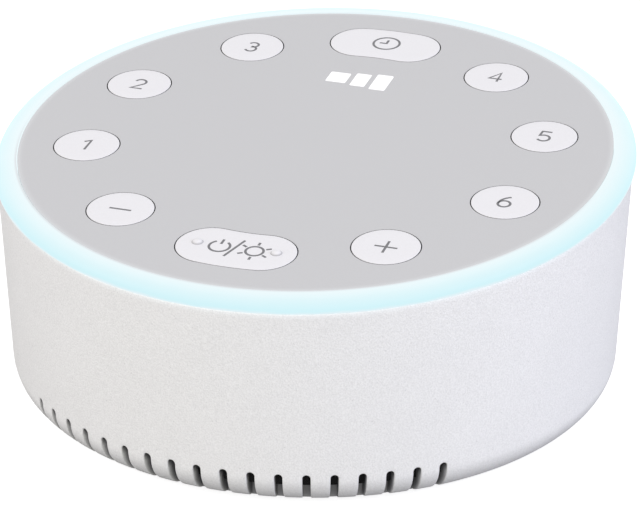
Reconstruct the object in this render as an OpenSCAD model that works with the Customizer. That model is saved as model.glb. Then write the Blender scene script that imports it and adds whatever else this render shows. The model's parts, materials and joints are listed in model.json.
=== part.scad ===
// White noise sound machine: a round table-top case with a sloping face, ten push keys,
// a light ring, and a loudspeaker that sounds through a comb of slots at the lower front.
//
// Frame: origin on the table under the middle of the case, +Z up, the front towards -Y.
// Heights of the case are measured from the housing's bottom, which the feet hold up.
// The top assembly is drawn in the face's own frame, which leans down towards the front:
// w is the height above the light ring's inner edge, so what lies below is negative.
// An angle round the case starts at the front and grows towards the right.

/* [Case] */
// Diameter of the light ring, the widest part of the top
ring_d = 115; // [114.5:0.5:118]
// Height of the light ring's inner edge above the housing's bottom, halfway back
face_h = 44.8; // [44:0.1:48]
// Slope of the face down towards the front, in degrees
face_tilt = 5.27; // [4.5:0.01:5.8]
// Outward lean of the housing's wall, in degrees
wall_lean = 2.51; // [2:0.01:3.2]
// Radius of the housing's bottom corner
corner_r = 6.2; // [5.4:0.1:6.6]
// Thickness of the housing's wall
wall_t = 2.4; // [2.2:0.1:2.6]
// Height of the housing's bottom above the table
foot_drop = 0.8; // [0.6:0.1:1.2]

/* [Sound slots] */
// Number of slots in the comb
slot_count = 18; // [10:2:20]
// Angle from one slot to the next, in degrees
slot_pitch = 4.94; // [4:0.02:5]
// Turn of the comb's middle from the front towards the right, in degrees
slot_turn = 0.4; // [0:0.1:1]
// Width of a slot
slot_w = 1.4; // [1:0.05:1.6]
// Height of a slot's round top above the housing's bottom
slot_top = 6.8; // [6:0.1:7.4]

/* [Face and light ring] */
// Radius of the gray face plate
face_r = 53.4; // [52:0.05:53.5]
// Thickness of the face plate
face_t = 2.04; // [1.9:0.02:2.1]
// Depth of the face plate below the light ring's inner edge
face_drop = 0.16; // [0.1:0.02:0.3]
// Height of the light ring's rounded outer edge
ring_edge = 2.1; // [1.8:0.1:2.1]
// How far the light ring stands out past the wall at its sides
ring_over = 0.44; // [0.3:0.02:0.5]
// Distance of the level windows from the middle of the face
level_y = 25.4; // [24:0.1:26]

/* [Keys] */
// Radius of the circle that the keys stand on
key_circle = 41.1; // [40.5:0.1:41.3]
// Radius of a round key, and of a wide key's ends
key_r = 5.9; // [5.6:0.02:6.2]
// Angle from a wide key's middle to the middle of its round end, in degrees
wide_half = 6.6; // [5.4:0.1:6.8]
// Height of a key's top above the face plate
key_proud = 0.05; // [0.05:0.05:0.4]
// Travel of a key
key_travel = 0.5; // [0.3:0.05:0.5]

/* [Loudspeaker and power inlet] */
// Radius of the loudspeaker's frame
speaker_r = 26; // [25.5:0.1:26.5]
// Radius of the loudspeaker's magnet
magnet_r = 15; // [14:0.1:16]
// Height of the power inlet's middle above the housing's bottom
inlet_h = 19.5; // [19:0.1:20.5]
// Radius of the round opening round the power inlet
inlet_r = 5.25; // [5:0.05:5.5]

/* [Hidden] */
$fn = 96;
eps = 0.01;
lots = 200;

// Case
ring_r = ring_d / 2;
lean = tan(wall_lean);
wall_across = wall_t / cos(wall_lean);
base_r = ring_r - ring_over - lean * (face_h - ring_edge);
corner_x = base_r + lean * corner_r - corner_r / cos(wall_lean);
floor_r = corner_x + 1.255;
bore_r = floor_r + 0.2;
floor_edge_h = 2.4;
floor_t = 2;
face_shift = lean * tan(face_tilt) * ring_r;
case_top = face_h + 12;
inner_start = floor_edge_h + 0.2;
cut_in = 48;
cut_l = 12;

// Radii and depths of the top assembly, in the face's frame
ring_seat = -2.2;
collar_r = ring_r - 1.6;
collar_gap = 0.3;
collar_t = 1.2;
face_top = -face_drop;
key_top = face_top + key_proud;
plate_under = face_top - face_t;
flange_top = plate_under - 0.05;
flange_t = 1;
board_top = -10.2;
board_t = 1.6;
board_r = ring_r - 4.6;
switch_h = 3.5;
spare = 0.25;
frame_top = flange_top - flange_t - key_travel - spare;
frame_t = 1.2;
stem_end = board_top + switch_h + key_travel + spare;
lug_t = 2.2;
guide_out = ring_r - 5;
guide_in = guide_out - 2.6;
guide_end = -8.6;
reflector_out = guide_in - 0.3;
reflector_in = reflector_out - 1;
frame_in = 31.3;
frame_out = reflector_in - 1;
led_ring_r = (guide_in + guide_out) / 2;
led_h = 1;
led_count = 24;

// Keys: the angle of each
POWER_A = 0;
TIMER_A = 180;
UP_A = 36;
DOWN_A = -36;
SOUND_A = [-72, -108, -144, 144, 108, 72];
KEY_A = concat([POWER_A, UP_A, DOWN_A, TIMER_A], SOUND_A);
flange_r = key_r + 0.88;
hole_gap = 0.2;
guide_gap = 0.15;
peg_r = 1.5;
peg_a = 8;
stem_w = 5;
switch_w = 6;
plunger_r = 1.7;
plunger_in = 0.5;
dot_a = 9.95;

// Screws and their posts in the top assembly
FACE_SCREW_A = [54, 126, 234, 306];
face_screw_circle = 45.6;
post_r = 2.6;
screw_r = 1.3;
screw_hole_r = 1.6;
head_r = 2.4;
head_t = 1.6;
thread_gap = 0.03;
lug_top = board_top - board_t;
lug_under = lug_top - lug_t;
spacer_out_r = 1.8;
spacer_in_r = 2.2;
SPACER_OUT_A = [18, 90, 162, 198, 270, 342];
SPACER_IN_A = [18, 90, 162, 234, 306];
spacer_in_circle = 33.6;

// Level windows: the place across, the width and the height of each
LEVELS = [[-4.2, 3.9, 4], [0.2, 2.9, 5.1], [4.2, 3.1, 6.2]];
level_corner = 0.3;
level_gap = 0.04;
level_box_w = 15;
level_box_d = 8.6;
well_over = 0.4;
well_d = 7;

// Base screws, bosses and feet
BASE_SCREW_A = [45, 135, 225, 315];
base_screw_circle = 44;
boss_r = 3.4;
boss_step_h = 10.5;
boss_foot_h = 4.4;
boss_foot_r = 2.4;
sleeve_r = 4.2;
boss_top_h = 14;
head_seat_h = 2.8;
slide_gap = 0.15;
foot_r = 4.5;
foot_in = 1;

// Baffle and loudspeaker, heights above the housing's bottom
baffle_h = 8.5;
baffle_t = 2;
baffle_r = bore_r - 0.3;
gasket_t = 0.5;
rim_h = baffle_h + baffle_t + gasket_t;
rim_t = 1;
cone_out_h = 12.9;
cone_in_h = 18.6;
cone_out_r = 18.4;
cone_in_r = 10.32;
roll_out_r = 21.6;
basket_bore_r = 21.9;
baffle_hole_r = 22.4;
cone_t = 0.4;
ledge_h = 19.3;
spider_t = 0.3;
front_h = 21.6;
top_plate_h = 22.4;
magnet_h = 24.4;
magnet_in_r = 12;
yoke_h = 28.4;
yoke_t = 1.8;
pole_r = 9.4;
gap_r = 10.8;
coil_in_r = 9.8;
coil_out_r = 10.3;
ear_circle = 29;
ear_hole_r = 1.25;
ear_post_r = 2.6;
ear_post_h = 6;
ear_screw_r = 0.9;
ear_head_r = 1.9;
ear_head_t = 1.3;
EAR_A = [45, 135, 225, 315];

// Main board, at the back above the baffle
main_h = 12.1;
main_t = 1.6;
main_top = main_h + main_t;
main_w = 34;
main_y0 = 30;
main_y1 = 48;
corner_in = 2.5;
board_post_r = 2.2;
board_screw_r = 0.8;
board_hole_r = 1.2;
board_head_r = 1.7;
board_head_t = 1.2;
jack_face_y = wall_r(inlet_h) - wall_across - 0.68;
jack_len = 14.2;
jack_w = 9;
jack_over = 4.6;
cable_x = -8.5;
cable_low_y = 35.5;
cable_high_v = 38;
socket_h = 2.4;
socket_w = 9;
socket_d = 4;
barrel_depth = 9.5;
barrel_r = 3.1;
barrel_pin_r = 1;

// Parts on the boards: the place, then the width, depth and height of each
CONTROL_CHIPS = [[-18, 30, 7, 7, 0.9], [24, 22, 5, 4, 1.5], [24, 30, 5, 4, 1.5]];
MAIN_CHIPS = [[10, 36.5, 5, 6, 1.6], [8.6, 44, 4, 4, 1.1]];
LEAD_SOCKET = [2, 34, 6, 4.5, 4];
// Capacitors: the place, then the radius and height of each
CAPACITORS = [[-9.8, 43.2, 3.2, 8], [14.3, 41.2, 2.2, 7]];

SOUND_KEYS = [for (i = [1:6]) str("key_sound_", i)];
SOUND_PLUNGERS = [for (i = [1:6]) str("plunger_sound_", i)];

// ---------- places ----------

function wall_r(h) = base_r + lean * h;

// Heights from here on are above the housing's bottom.
module on_case() {
    translate([0, 0, foot_drop]) children();
}

// The face's frame, centred where the leaning wall's cut is centred.
module on_face() {
    translate([0, face_shift, foot_drop + face_h + face_shift * tan(face_tilt)])
        rotate([face_tilt, 0, 0])
            children();
}

// Where a point of the face's frame, v behind the middle at depth w, is in the case.
function face_point_y(v, w) = face_shift + v * cos(face_tilt) - w * sin(face_tilt);
function face_point_h(v, w) =
    face_h + face_shift * tan(face_tilt) + v * sin(face_tilt) + w * cos(face_tilt);

module at_angle(a, circle) {
    rotate([0, 0, a]) translate([0, -circle, 0]) children();
}

module face_screw_places() {
    for (a = FACE_SCREW_A) at_angle(a, face_screw_circle) children();
}

module base_screw_places() {
    for (a = BASE_SCREW_A) at_angle(a, base_screw_circle) children();
}

module ear_places() {
    for (a = EAR_A) at_angle(a, ear_circle) children();
}

module main_board_corners() {
    for (x = [-1, 1], y = [main_y0 + corner_in, main_y1 - corner_in])
        translate([x * (main_w / 2 - corner_in), y, 0]) children();
}

// A round bar from height h0 to height h1.
module bar(r, h0, h1) {
    translate([0, 0, h0]) cylinder(r = r, h = h1 - h0);
}

// A round tube from height h0 to height h1.
module tube(r_in, r_out, h0, h1) {
    difference() {
        bar(r_out, h0, h1);
        bar(r_in, h0 - 1, h1 + 1);
    }
}

// A square bar from height h0 to height h1, centred across.
module block(x, y, h0, h1) {
    translate([-x / 2, -y / 2, h0]) cube([x, y, h1 - h0]);
}

// A block given as [x, y, width, depth, height], standing on height h0.
module part_on(p, h0) {
    translate([p[0], p[1], 0]) block(p[2], p[3], h0, h0 + p[4]);
}

module rounded_rect(x, y, r) {
    square([x - 2 * r, y], center = true);
    square([x, y - 2 * r], center = true);
    for (sx = [-1, 1], sy = [-1, 1])
        translate([sx * (x / 2 - r), sy * (y / 2 - r)]) circle(r = r);
}

// A screw that points up from its seat, with a crossed recess in its head.
module screw(seat, head, head_h, shank, reach) {
    recess_w = 0.25 * head;
    recess_l = 1.1 * head;
    translate([0, 0, seat]) difference() {
        union() {
            bar(head, -head_h, 0);
            bar(shank, 0, reach);
        }
        block(recess_l, recess_w, -head_h - 1, -0.55 * head_h);
        block(recess_w, recess_l, -head_h - 1, -0.55 * head_h);
    }
}

// ---------- case ----------

// Half of the case's outline: a flat bottom, a round corner and a leaning wall.
module case_half() {
    tangent_x = corner_x + corner_r * cos(wall_lean);
    tangent_h = corner_r - corner_r * sin(wall_lean);
    polygon([
        [0, 0],
        [corner_x, 0],
        [tangent_x, tangent_h],
        [wall_r(case_top), case_top],
        [0, case_top]
    ]);
    intersection() {
        translate([corner_x, corner_r]) circle(r = corner_r);
        translate([corner_x, 0]) square([corner_r + 1, tangent_h]);
    }
}

// The hollow: a straight bore for the base cover, then the wall's inner face.
module hollow_half() {
    polygon([
        [0, -1],
        [bore_r, -1],
        [bore_r, inner_start],
        [wall_r(inner_start) - wall_across, inner_start + 1],
        [wall_r(case_top + 1) - wall_across, case_top + 1],
        [0, case_top + 1]
    ]);
}

module slot_cutter() {
    round_h = slot_top - slot_w / 2;
    translate([-slot_w / 2, -cut_in - cut_l, -1]) cube([slot_w, cut_l, round_h + 1]);
    translate([0, -cut_in, round_h]) rotate([90, 0, 0]) cylinder(d = slot_w, h = cut_l);
}

module slots() {
    for (i = [0:slot_count - 1])
        rotate([0, 0, slot_turn + (i - (slot_count - 1) / 2) * slot_pitch]) slot_cutter();
}

// A post for a base screw: thick above the baffle, thin where the baffle slides over it,
// with a rib that runs halfway into the wall.
module base_boss() {
    rib_t = 1.6;
    rib_l = wall_r(boss_step_h) - wall_t / 2 - base_screw_circle;
    bar(boss_r, boss_step_h, boss_top_h);
    bar(boss_foot_r, boss_foot_h, boss_step_h + 1);
    translate([-rib_t / 2, -rib_l, boss_step_h])
        cube([rib_t, rib_l, boss_top_h - boss_step_h]);
}

// A lug on the wall's inside, which a screw through it pulls the top assembly down on.
module face_lug() {
    lug_w = 7;
    lug_out = ring_r - 2;
    lug_in = 44;
    translate([-lug_w / 2, -lug_out, lug_under])
        cube([lug_w, lug_out - lug_in, lug_t]);
    translate([0, -lug_in, 0]) bar(lug_w / 2, lug_under, lug_top);
}

module housing() {
    color("whitesmoke") difference() {
        union() {
            on_case() difference() {
                rotate_extrude($fn = 180) case_half();
                rotate_extrude($fn = 180) hollow_half();
            }
            on_case() base_screw_places() base_boss();
            on_face() for (a = FACE_SCREW_A) rotate([0, 0, a]) face_lug();
        }
        on_face() translate([-lots / 2, -lots / 2, ring_seat]) cube([lots, lots, 40]);
        on_face() bar(collar_r, ring_seat - collar_t - 0.8, 1);
        on_face() face_screw_places() bar(screw_hole_r, lug_under - 1, board_top);
        on_case() base_screw_places() bar(screw_r, boss_foot_h - 1, boss_top_h - 1.5);
        on_case() slots();
        on_case() translate([0, cut_in, inlet_h])
            rotate([-90, 0, 0]) cylinder(r = inlet_r, h = cut_l);
    }
}

// A dish whose upright edge stands behind the slots, with a sleeve over each base screw.
module base_cover() {
    edge_t = 1.6;
    color("gainsboro") on_case() difference() {
        union() {
            rotate_extrude($fn = 180) polygon([
                [0, 0],
                [floor_r, 0],
                [floor_r, floor_edge_h],
                [floor_r - edge_t, floor_edge_h],
                [floor_r - edge_t, floor_t],
                [0, floor_t]
            ]);
            base_screw_places() bar(sleeve_r, floor_t / 2, baffle_h);
        }
        base_screw_places() {
            bar(boss_foot_r + slide_gap, boss_foot_h, baffle_h + 1);
            bar(screw_hole_r, 0, boss_foot_h + 1);
            bar(head_r + 0.3, -1, head_seat_h);
            bar(foot_r + 0.1, -1, foot_in);
        }
    }
}

module rubber_feet() {
    color("dimgray") on_case() base_screw_places() {
        bar(foot_r - 0.3, -foot_drop, 0);
        bar(foot_r, 0, foot_in);
    }
}

module base_screws() {
    reach = boss_top_h - 3 - head_seat_h;
    color("silver") on_case() base_screw_places()
        screw(head_seat_h, head_r, head_t, screw_r - thread_gap, reach);
}

// Black cloth behind the slots, on the wall's inner face.
module slot_cloth() {
    half_a = slot_count * slot_pitch / 2 + 1;
    cloth_t = 0.4;
    cloth_w = 4.6;
    cloth_in = wall_r(inner_start) - wall_across - 0.05 - cloth_t;
    color("black") on_case() rotate([0, 0, slot_turn - 90 - half_a])
        rotate_extrude(angle = 2 * half_a, $fn = 180)
            translate([cloth_in, inner_start + 1]) square([cloth_t, cloth_w]);
}

// ---------- face, ring and lights ----------

// Half of the ring's outline: a level top, a round outer edge, a step that centres it
// in the housing, a shelf for the face plate and a leg that stands over the LEDs.
module ring_half() {
    edge_r = 2;
    round_x = ring_r - edge_r;
    difference() {
        polygon([
            [face_r + 0.1, 0],
            [round_x, edge_r - ring_edge],
            [ring_r, edge_r - ring_edge],
            [ring_r, ring_seat],
            [collar_r - collar_gap, ring_seat],
            [collar_r - collar_gap, ring_seat - collar_t],
            [guide_out, ring_seat - collar_t],
            [guide_out, guide_end],
            [guide_in, guide_end],
            [guide_in, plate_under],
            [face_r + 0.1, plate_under]
        ]);
        translate([round_x, -ring_edge]) difference() {
            square([edge_r + 1, edge_r + 1]);
            circle(r = edge_r);
        }
    }
}

module light_ring() {
    color([0.85, 0.97, 1]) on_face() rotate_extrude($fn = 180) ring_half();
}

module ring_reflector() {
    color("white") on_face() tube(reflector_in, reflector_out, board_top, plate_under);
}

// Outline of a key with end radius r: round, or a stretch of the key circle's band, whose
// long sides lie a touch inside its round ends.
module key_outline(r, half_a) {
    side_in = 0.02;
    half_w = r - side_in;
    if (half_a == 0)
        translate([0, -key_circle]) circle(r = r);
    else {
        for (s = [-1, 1])
            rotate(s * half_a) translate([0, -key_circle]) circle(r = r);
        intersection() {
            difference() {
                circle(r = key_circle + half_w);
                circle(r = key_circle - half_w);
            }
            polygon([[0, 0], far_point(-half_a), far_point(half_a)]);
        }
    }
}

function far_point(a) = [2 * ring_r * sin(a), -2 * ring_r * cos(a)];

function half_angle(a) = (a == POWER_A || a == TIMER_A) ? wide_half : 0;

// The key outline at angle a, from depth w0 up to w1.
module key_prism(a, r, w0, w1) {
    rotate([0, 0, a]) translate([0, 0, w0])
        linear_extrude(height = w1 - w0) key_outline(r, half_angle(a));
}

module level_outlines(grow) {
    for (level = LEVELS)
        translate([level[0], level_y])
            rounded_rect(level[1] + grow, level[2] + grow, level_corner + grow / 2);
}

module face_plate() {
    color("lightgray") on_face() difference() {
        union() {
            bar(face_r, plate_under, face_top);
            face_screw_places() bar(post_r, board_top, plate_under + eps);
        }
        for (a = KEY_A) key_prism(a, key_r + hole_gap, plate_under - 1, 1);
        translate([0, 0, plate_under - 1])
            linear_extrude(height = face_t + 2) level_outlines(level_gap);
        face_screw_places() bar(screw_r, board_top - 1, board_top + 6);
    }
}

// Three window islands on one flange under the face plate.
module level_lens() {
    color("white") on_face() {
        translate([0, 0, plate_under - eps])
            linear_extrude(height = face_t + eps) level_outlines(0);
        translate([0, level_y, 0])
            block(level_box_w, level_box_d, plate_under - 1, plate_under);
    }
}

// A box with a well under each window, which keeps their lights apart.
module level_light_box() {
    color("white") on_face() translate([0, level_y, 0]) difference() {
        block(level_box_w, level_box_d, board_top, plate_under - 1);
        for (level = LEVELS)
            translate([level[0], 0, 0])
                block(level[1] + well_over, well_d, board_top - 1, 0);
    }
}

module level_leds() {
    color("ivory") on_face() for (level = LEVELS)
        part_on([level[0], level_y, 2, 1.6, 0.8], board_top);
}

module ring_leds() {
    color("ivory") on_face() for (i = [0:led_count - 1])
        at_angle((i + 0.5) * 360 / led_count, led_ring_r)
            block(3.5, 2.6, board_top, board_top + led_h);
}

// ---------- keys and switches ----------

// A cap through the face, a flange that keeps it in, and a square stem that can't turn.
module key(a) {
    wide = half_angle(a) > 0;
    edge = 0.1;
    flange_under = flange_top - flange_t;
    color("white") on_face() {
        key_prism(a, key_r - edge, flange_top, key_top);
        key_prism(a, key_r, flange_under, key_top - edge);
        key_prism(a, flange_r, flange_under, flange_top);
        at_angle(a, key_circle) block(stem_w, stem_w, stem_end, flange_top);
        if (wide)
            for (s = [-1, 1])
                at_angle(a + s * peg_a, key_circle)
                    bar(peg_r, frame_top - frame_t - 0.6, flange_top);
    }
}

// Two raised dots on the power key, to find it by touch.
module touch_dots() {
    dot_sphere = 1.45;
    dot_r = 1.05;
    sunk = sqrt(pow(dot_sphere, 2) - pow(dot_r, 2));
    for (s = [-1, 1])
        at_angle(s * dot_a, key_circle) translate([0, 0, key_top]) intersection() {
            translate([0, 0, -sunk]) sphere(r = dot_sphere);
            bar(2, -0.05, 2);
        }
}

module key_power_light() {
    key(POWER_A);
    color("white") on_face() touch_dots();
}

module plunger(a) {
    color("dimgray") on_face() at_angle(a, key_circle)
        bar(plunger_r, board_top + switch_h - plunger_in, stem_end);
}

module switch_bodies() {
    color("darkgray") on_face() for (a = KEY_A)
        at_angle(a, key_circle) difference() {
            block(switch_w, switch_w, board_top, board_top + switch_h);
            bar(plunger_r + 0.2, board_top + switch_h - plunger_in - key_travel - 0.2, 0);
        }
}

// A plate that guides the keys' stems, on spacers between the board and the face plate.
module key_frame() {
    stem_hole = stem_w + 2 * guide_gap;
    under = frame_top - frame_t - 1;
    color("gray") on_face() difference() {
        union() {
            tube(frame_in, frame_out, frame_top - frame_t, frame_top);
            for (a = SPACER_OUT_A)
                at_angle(a, face_screw_circle) bar(spacer_out_r, board_top, plate_under);
            for (a = SPACER_IN_A)
                at_angle(a, spacer_in_circle) bar(spacer_in_r, board_top, plate_under);
        }
        for (a = KEY_A) at_angle(a, key_circle) block(stem_hole, stem_hole, under, 0);
        for (a = [POWER_A, TIMER_A], s = [-1, 1])
            at_angle(a + s * peg_a, key_circle) bar(peg_r + guide_gap, under, 0);
        face_screw_places() bar(post_r + 0.2, under, 0);
    }
}

module control_board() {
    color("seagreen") on_face() difference() {
        bar(board_r, lug_top, board_top);
        face_screw_places() bar(screw_hole_r, lug_top - 1, board_top + 1);
    }
}

// A square controller with two small drivers beside it, under the board.
module control_chips() {
    color("black") on_face() for (chip = CONTROL_CHIPS) part_on(chip, lug_top - chip[4]);
}

module face_screws() {
    reach = board_top + 5 - lug_under;
    color("silver") on_face() face_screw_places()
        screw(lug_under, head_r, head_t, screw_r - thread_gap, reach);
}

// ---------- loudspeaker ----------

module speaker_baffle() {
    color("dimgray") on_case() difference() {
        union() {
            bar(baffle_r, baffle_h, baffle_h + baffle_t);
            ear_places() bar(ear_post_r, ear_post_h, rim_h);
            main_board_corners() bar(board_post_r, baffle_h, main_h);
        }
        bar(baffle_hole_r, baffle_h - 1, rim_h);
        base_screw_places() bar(boss_foot_r + slide_gap, baffle_h - 1, rim_h);
        ear_places() bar(ear_screw_r, ear_post_h + 0.8, rim_h + 1);
        main_board_corners() bar(board_screw_r, baffle_h + 0.6, main_h + 1);
    }
}

module speaker_gasket() {
    color("black") on_case() tube(baffle_hole_r, speaker_r - 0.4, rim_h - gasket_t, rim_h);
}

// A pressed frame: a rim with four ears, a leaning side with four windows, a ledge for
// the spider, and a neck that the magnet's top plate is riveted to.
module speaker_basket() {
    side_r = 24.8;
    ledge_r = 18.6;
    neck_r = 16.3;
    plate_t = 0.8;
    ear_r = 2.8;
    ear_l = 4;
    flare_r = 22.5;
    window_w = 14;
    window_in = 12;
    window_l = 16;
    window_h0 = rim_h + rim_t + 1.6;
    window_h1 = window_h0 + 4.2;
    color("slategray") on_case() difference() {
        union() {
            bar(speaker_r, rim_h, rim_h + rim_t);
            ear_places() {
                bar(ear_r, rim_h, rim_h + rim_t);
                translate([-ear_r, 0, rim_h]) cube([2 * ear_r, ear_l, rim_t]);
            }
            translate([0, 0, rim_h])
                cylinder(r1 = side_r, r2 = ledge_r, h = ledge_h - rim_h);
            bar(ledge_r, ledge_h - eps, ledge_h + plate_t);
            bar(neck_r, ledge_h, top_plate_h);
        }
        bar(basket_bore_r, rim_h - 1, cone_out_h + 1);
        translate([0, 0, cone_out_h])
            cylinder(r1 = flare_r, r2 = ledge_r - plate_t, h = ledge_h - cone_out_h);
        bar(neck_r - plate_t, ledge_h - 1, front_h);
        bar(gap_r, front_h - 1, top_plate_h + 1);
        for (a = [0:90:270]) rotate([0, 0, a])
            translate([-window_w / 2, window_in, window_h0])
                cube([window_w, window_l, window_h1 - window_h0]);
        ear_places() bar(ear_hole_r, rim_h - 1, rim_h + rim_t + 1);
    }
}

module speaker_top_plate() {
    color("silver") on_case() tube(gap_r, magnet_r - 1, top_plate_h, magnet_h);
}

module speaker_magnet() {
    color([0.25, 0.25, 0.27]) on_case() tube(magnet_in_r, magnet_r, magnet_h, yoke_h);
}

module speaker_yoke() {
    color("silver") on_case() {
        bar(pole_r, top_plate_h, yoke_h + eps);
        bar(magnet_r - 0.6, yoke_h, yoke_h + yoke_t);
    }
}

module voice_coil() {
    color("peru") on_case() tube(coil_in_r, coil_out_r, cone_in_h - 0.8, magnet_h + 1.6);
}

// A straight-sided paper cone, open end down.
module speaker_cone() {
    color([0.2, 0.2, 0.2]) on_case() rotate_extrude() polygon([
        [cone_in_r, cone_in_h],
        [cone_out_r, cone_out_h],
        [cone_out_r, cone_out_h + cone_t],
        [cone_in_r, cone_in_h + cone_t]
    ]);
}

// A shallow dome over the coil, standing on the cone's face.
module speaker_dust_cap() {
    cap_r = 12;
    cap_h = 17.4;
    cap_drop = 3;
    dome_r = (pow(cap_r, 2) + pow(cap_drop, 2)) / (2 * cap_drop);
    color([0.15, 0.15, 0.15]) on_case() intersection() {
        translate([0, 0, cap_h + dome_r - cap_drop]) difference() {
            sphere(r = dome_r);
            sphere(r = dome_r - 0.35);
        }
        bar(cap_r + 1, cap_h - cap_drop - 1, cap_h);
    }
}

// A half roll from the cone's edge to a flat lip on the basket's inner step.
module speaker_surround() {
    mid_r = (cone_out_r + roll_out_r) / 2;
    roll_r = (roll_out_r - cone_out_r) / 2;
    skin_t = 0.4;
    lip_t = 0.3;
    lip_w = 1;
    color([0.1, 0.1, 0.1]) on_case() rotate_extrude() {
        translate([mid_r, cone_out_h]) intersection() {
            difference() {
                circle(r = roll_r);
                circle(r = roll_r - skin_t);
            }
            translate([-2 * roll_r, -2 * roll_r]) square([4 * roll_r, 2 * roll_r]);
        }
        translate([roll_out_r - skin_t, cone_out_h]) square([lip_w, lip_t]);
    }
}

module speaker_spider() {
    spider_r = 17.2;
    color("goldenrod") on_case()
        tube(cone_in_r + 0.05, spider_r, ledge_h - spider_t, ledge_h);
}

module speaker_terminals() {
    color("gold") on_case() for (x = [-3.5, 3.5])
        part_on([x, 17.6, 2.2, 0.5, 3.2], ledge_h + 0.8);
}

module speaker_screws() {
    seat = rim_h + rim_t;
    reach = seat - ear_post_h - 1.4;
    color("silver") on_case() ear_places() translate([0, 0, seat]) rotate([180, 0, 0])
        screw(0, ear_head_r, ear_head_t, ear_screw_r - thread_gap, reach);
}

// ---------- main board and power inlet ----------

module main_board() {
    color("seagreen") on_case() difference() {
        translate([-main_w / 2, main_y0, main_h]) cube([main_w, main_y1 - main_y0, main_t]);
        main_board_corners() bar(board_hole_r, main_h - 1, main_top + 1);
    }
}

module main_board_screws() {
    reach = main_top - baffle_h - 1.4;
    color("silver") on_case() main_board_corners()
        translate([0, 0, main_top]) rotate([180, 0, 0])
            screw(0, board_head_r, board_head_t, board_screw_r - thread_gap, reach);
}

module main_chips() {
    color("black") on_case() for (chip = MAIN_CHIPS) part_on(chip, main_top);
}

module capacitors() {
    color("midnightblue") on_case() for (can = CAPACITORS)
        translate([can[0], can[1], 0]) bar(can[2], main_top, main_top + can[3]);
}

// Sockets for the loudspeaker's leads and for both ends of the flat cable.
module board_connectors() {
    color("ivory") {
        on_case() part_on(LEAD_SOCKET, main_top);
        on_case() part_on([cable_x, cable_low_y, socket_w, socket_d, socket_h], main_top);
        on_face() part_on(
            [cable_x, cable_high_v, socket_w, socket_d, socket_h],
            lug_top - socket_h
        );
    }
}

// A flat cable in a gentle bend between the two boards.
module flat_cable() {
    steps = 16;
    half_t = 0.15;
    cable_w = socket_w - 2;
    low = main_top + socket_h;
    w = lug_top - socket_h;
    high = face_point_h(cable_high_v, w) - 0.06;
    bend = face_point_y(cable_high_v, w) - cable_low_y;
    front = [for (i = [0:steps])
        [cable_low_y + bend * ease(i / steps) - half_t, low + (high - low) * i / steps]];
    back = [for (i = [steps:-1:0])
        [cable_low_y + bend * ease(i / steps) + half_t, low + (high - low) * i / steps]];
    color("gainsboro") on_case() translate([cable_x - cable_w / 2, 0, 0])
        rotate([90, 0, 90]) linear_extrude(height = cable_w) polygon(concat(front, back));
}

function ease(t) = (1 - cos(180 * t)) / 2;

// The barrel socket: a block on the board with a round mouth towards the opening.
module dc_jack() {
    color([0.15, 0.15, 0.15]) on_case() difference() {
        translate([-jack_w / 2, jack_face_y - jack_len, main_top])
            cube([jack_w, jack_len, inlet_h + jack_over - main_top]);
        translate([0, jack_face_y - barrel_depth, inlet_h]) rotate([-90, 0, 0])
            cylinder(r = barrel_r, h = barrel_depth + 2);
    }
}

module dc_jack_pin() {
    color("silver") on_case() translate([0, jack_face_y - barrel_depth, inlet_h])
        rotate([-90, 0, 0]) cylinder(r = barrel_pin_r, h = barrel_depth - 1);
}

// The loudspeaker's two leads, from its terminals to the socket on the main board.
LEAD_PATH = [
    [18.2, 21.8], [19.6, 22.4], [22, 22.8], [25, 22.4], [28, 21.4],
    [30.6, 20.4], [32.4, 19.8], [33.5, 19.1], [34, 18.3], [34, 17.7]
];

function lead_dir(i) = let (
    a = LEAD_PATH[max(i - 1, 0)],
    b = LEAD_PATH[min(i + 1, len(LEAD_PATH) - 1)]
) (b - a) / norm(b - a);

// A tube of eight sides round the path, which lies in a plane of constant x.
module lead(x0, x1) {
    sides = 8;
    r = 0.55;
    last = len(LEAD_PATH) - 1;
    ring_points = [
        for (i = [0:last], k = [0:sides - 1])
            let (d = lead_dir(i), u = 360 * k / sides, p = LEAD_PATH[i])
                [
                    x0 + (x1 - x0) * i / last + r * cos(u),
                    p[0] - r * sin(u) * d[1],
                    p[1] + r * sin(u) * d[0]
                ]
    ];
    walls = [
        for (i = [0:last - 1], k = [0:sides - 1])
            let (n = (k + 1) % sides)
                [i * sides + k, i * sides + n, (i + 1) * sides + n, (i + 1) * sides + k]
    ];
    start = [for (k = [sides - 1:-1:0]) k];
    end = [for (k = [0:sides - 1]) last * sides + k];
    polyhedron(ring_points, concat(walls, [start, end]));
}

module speaker_leads() {
    color("firebrick") on_case() {
        lead(-3.5, 1);
        lead(3.5, 3);
    }
}

housing();
base_cover();
light_ring();
ring_reflector();
face_plate();
level_lens();
level_light_box();
key_frame();
key_power_light();
key(TIMER_A);  // key_timer
key(UP_A);  // key_volume_up
key(DOWN_A);  // key_volume_down
for (i = [0:5]) key(SOUND_A[i]);
plunger(POWER_A);  // plunger_power_light
plunger(TIMER_A);  // plunger_timer
plunger(UP_A);  // plunger_volume_up
plunger(DOWN_A);  // plunger_volume_down
for (i = [0:5]) plunger(SOUND_A[i]);
switch_bodies();
control_board();
control_chips();
ring_leds();
level_leds();
face_screws();
base_screws();
rubber_feet();
slot_cloth();
speaker_baffle();
speaker_gasket();
speaker_basket();
speaker_top_plate();
speaker_magnet();
speaker_yoke();
voice_coil();
speaker_cone();
speaker_dust_cap();
speaker_surround();
speaker_spider();
speaker_terminals();
speaker_screws();
speaker_leads();
main_board();
main_board_screws();
main_chips();
capacitors();
board_connectors();
flat_cable();
dc_jack();
dc_jack_pin();
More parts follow.
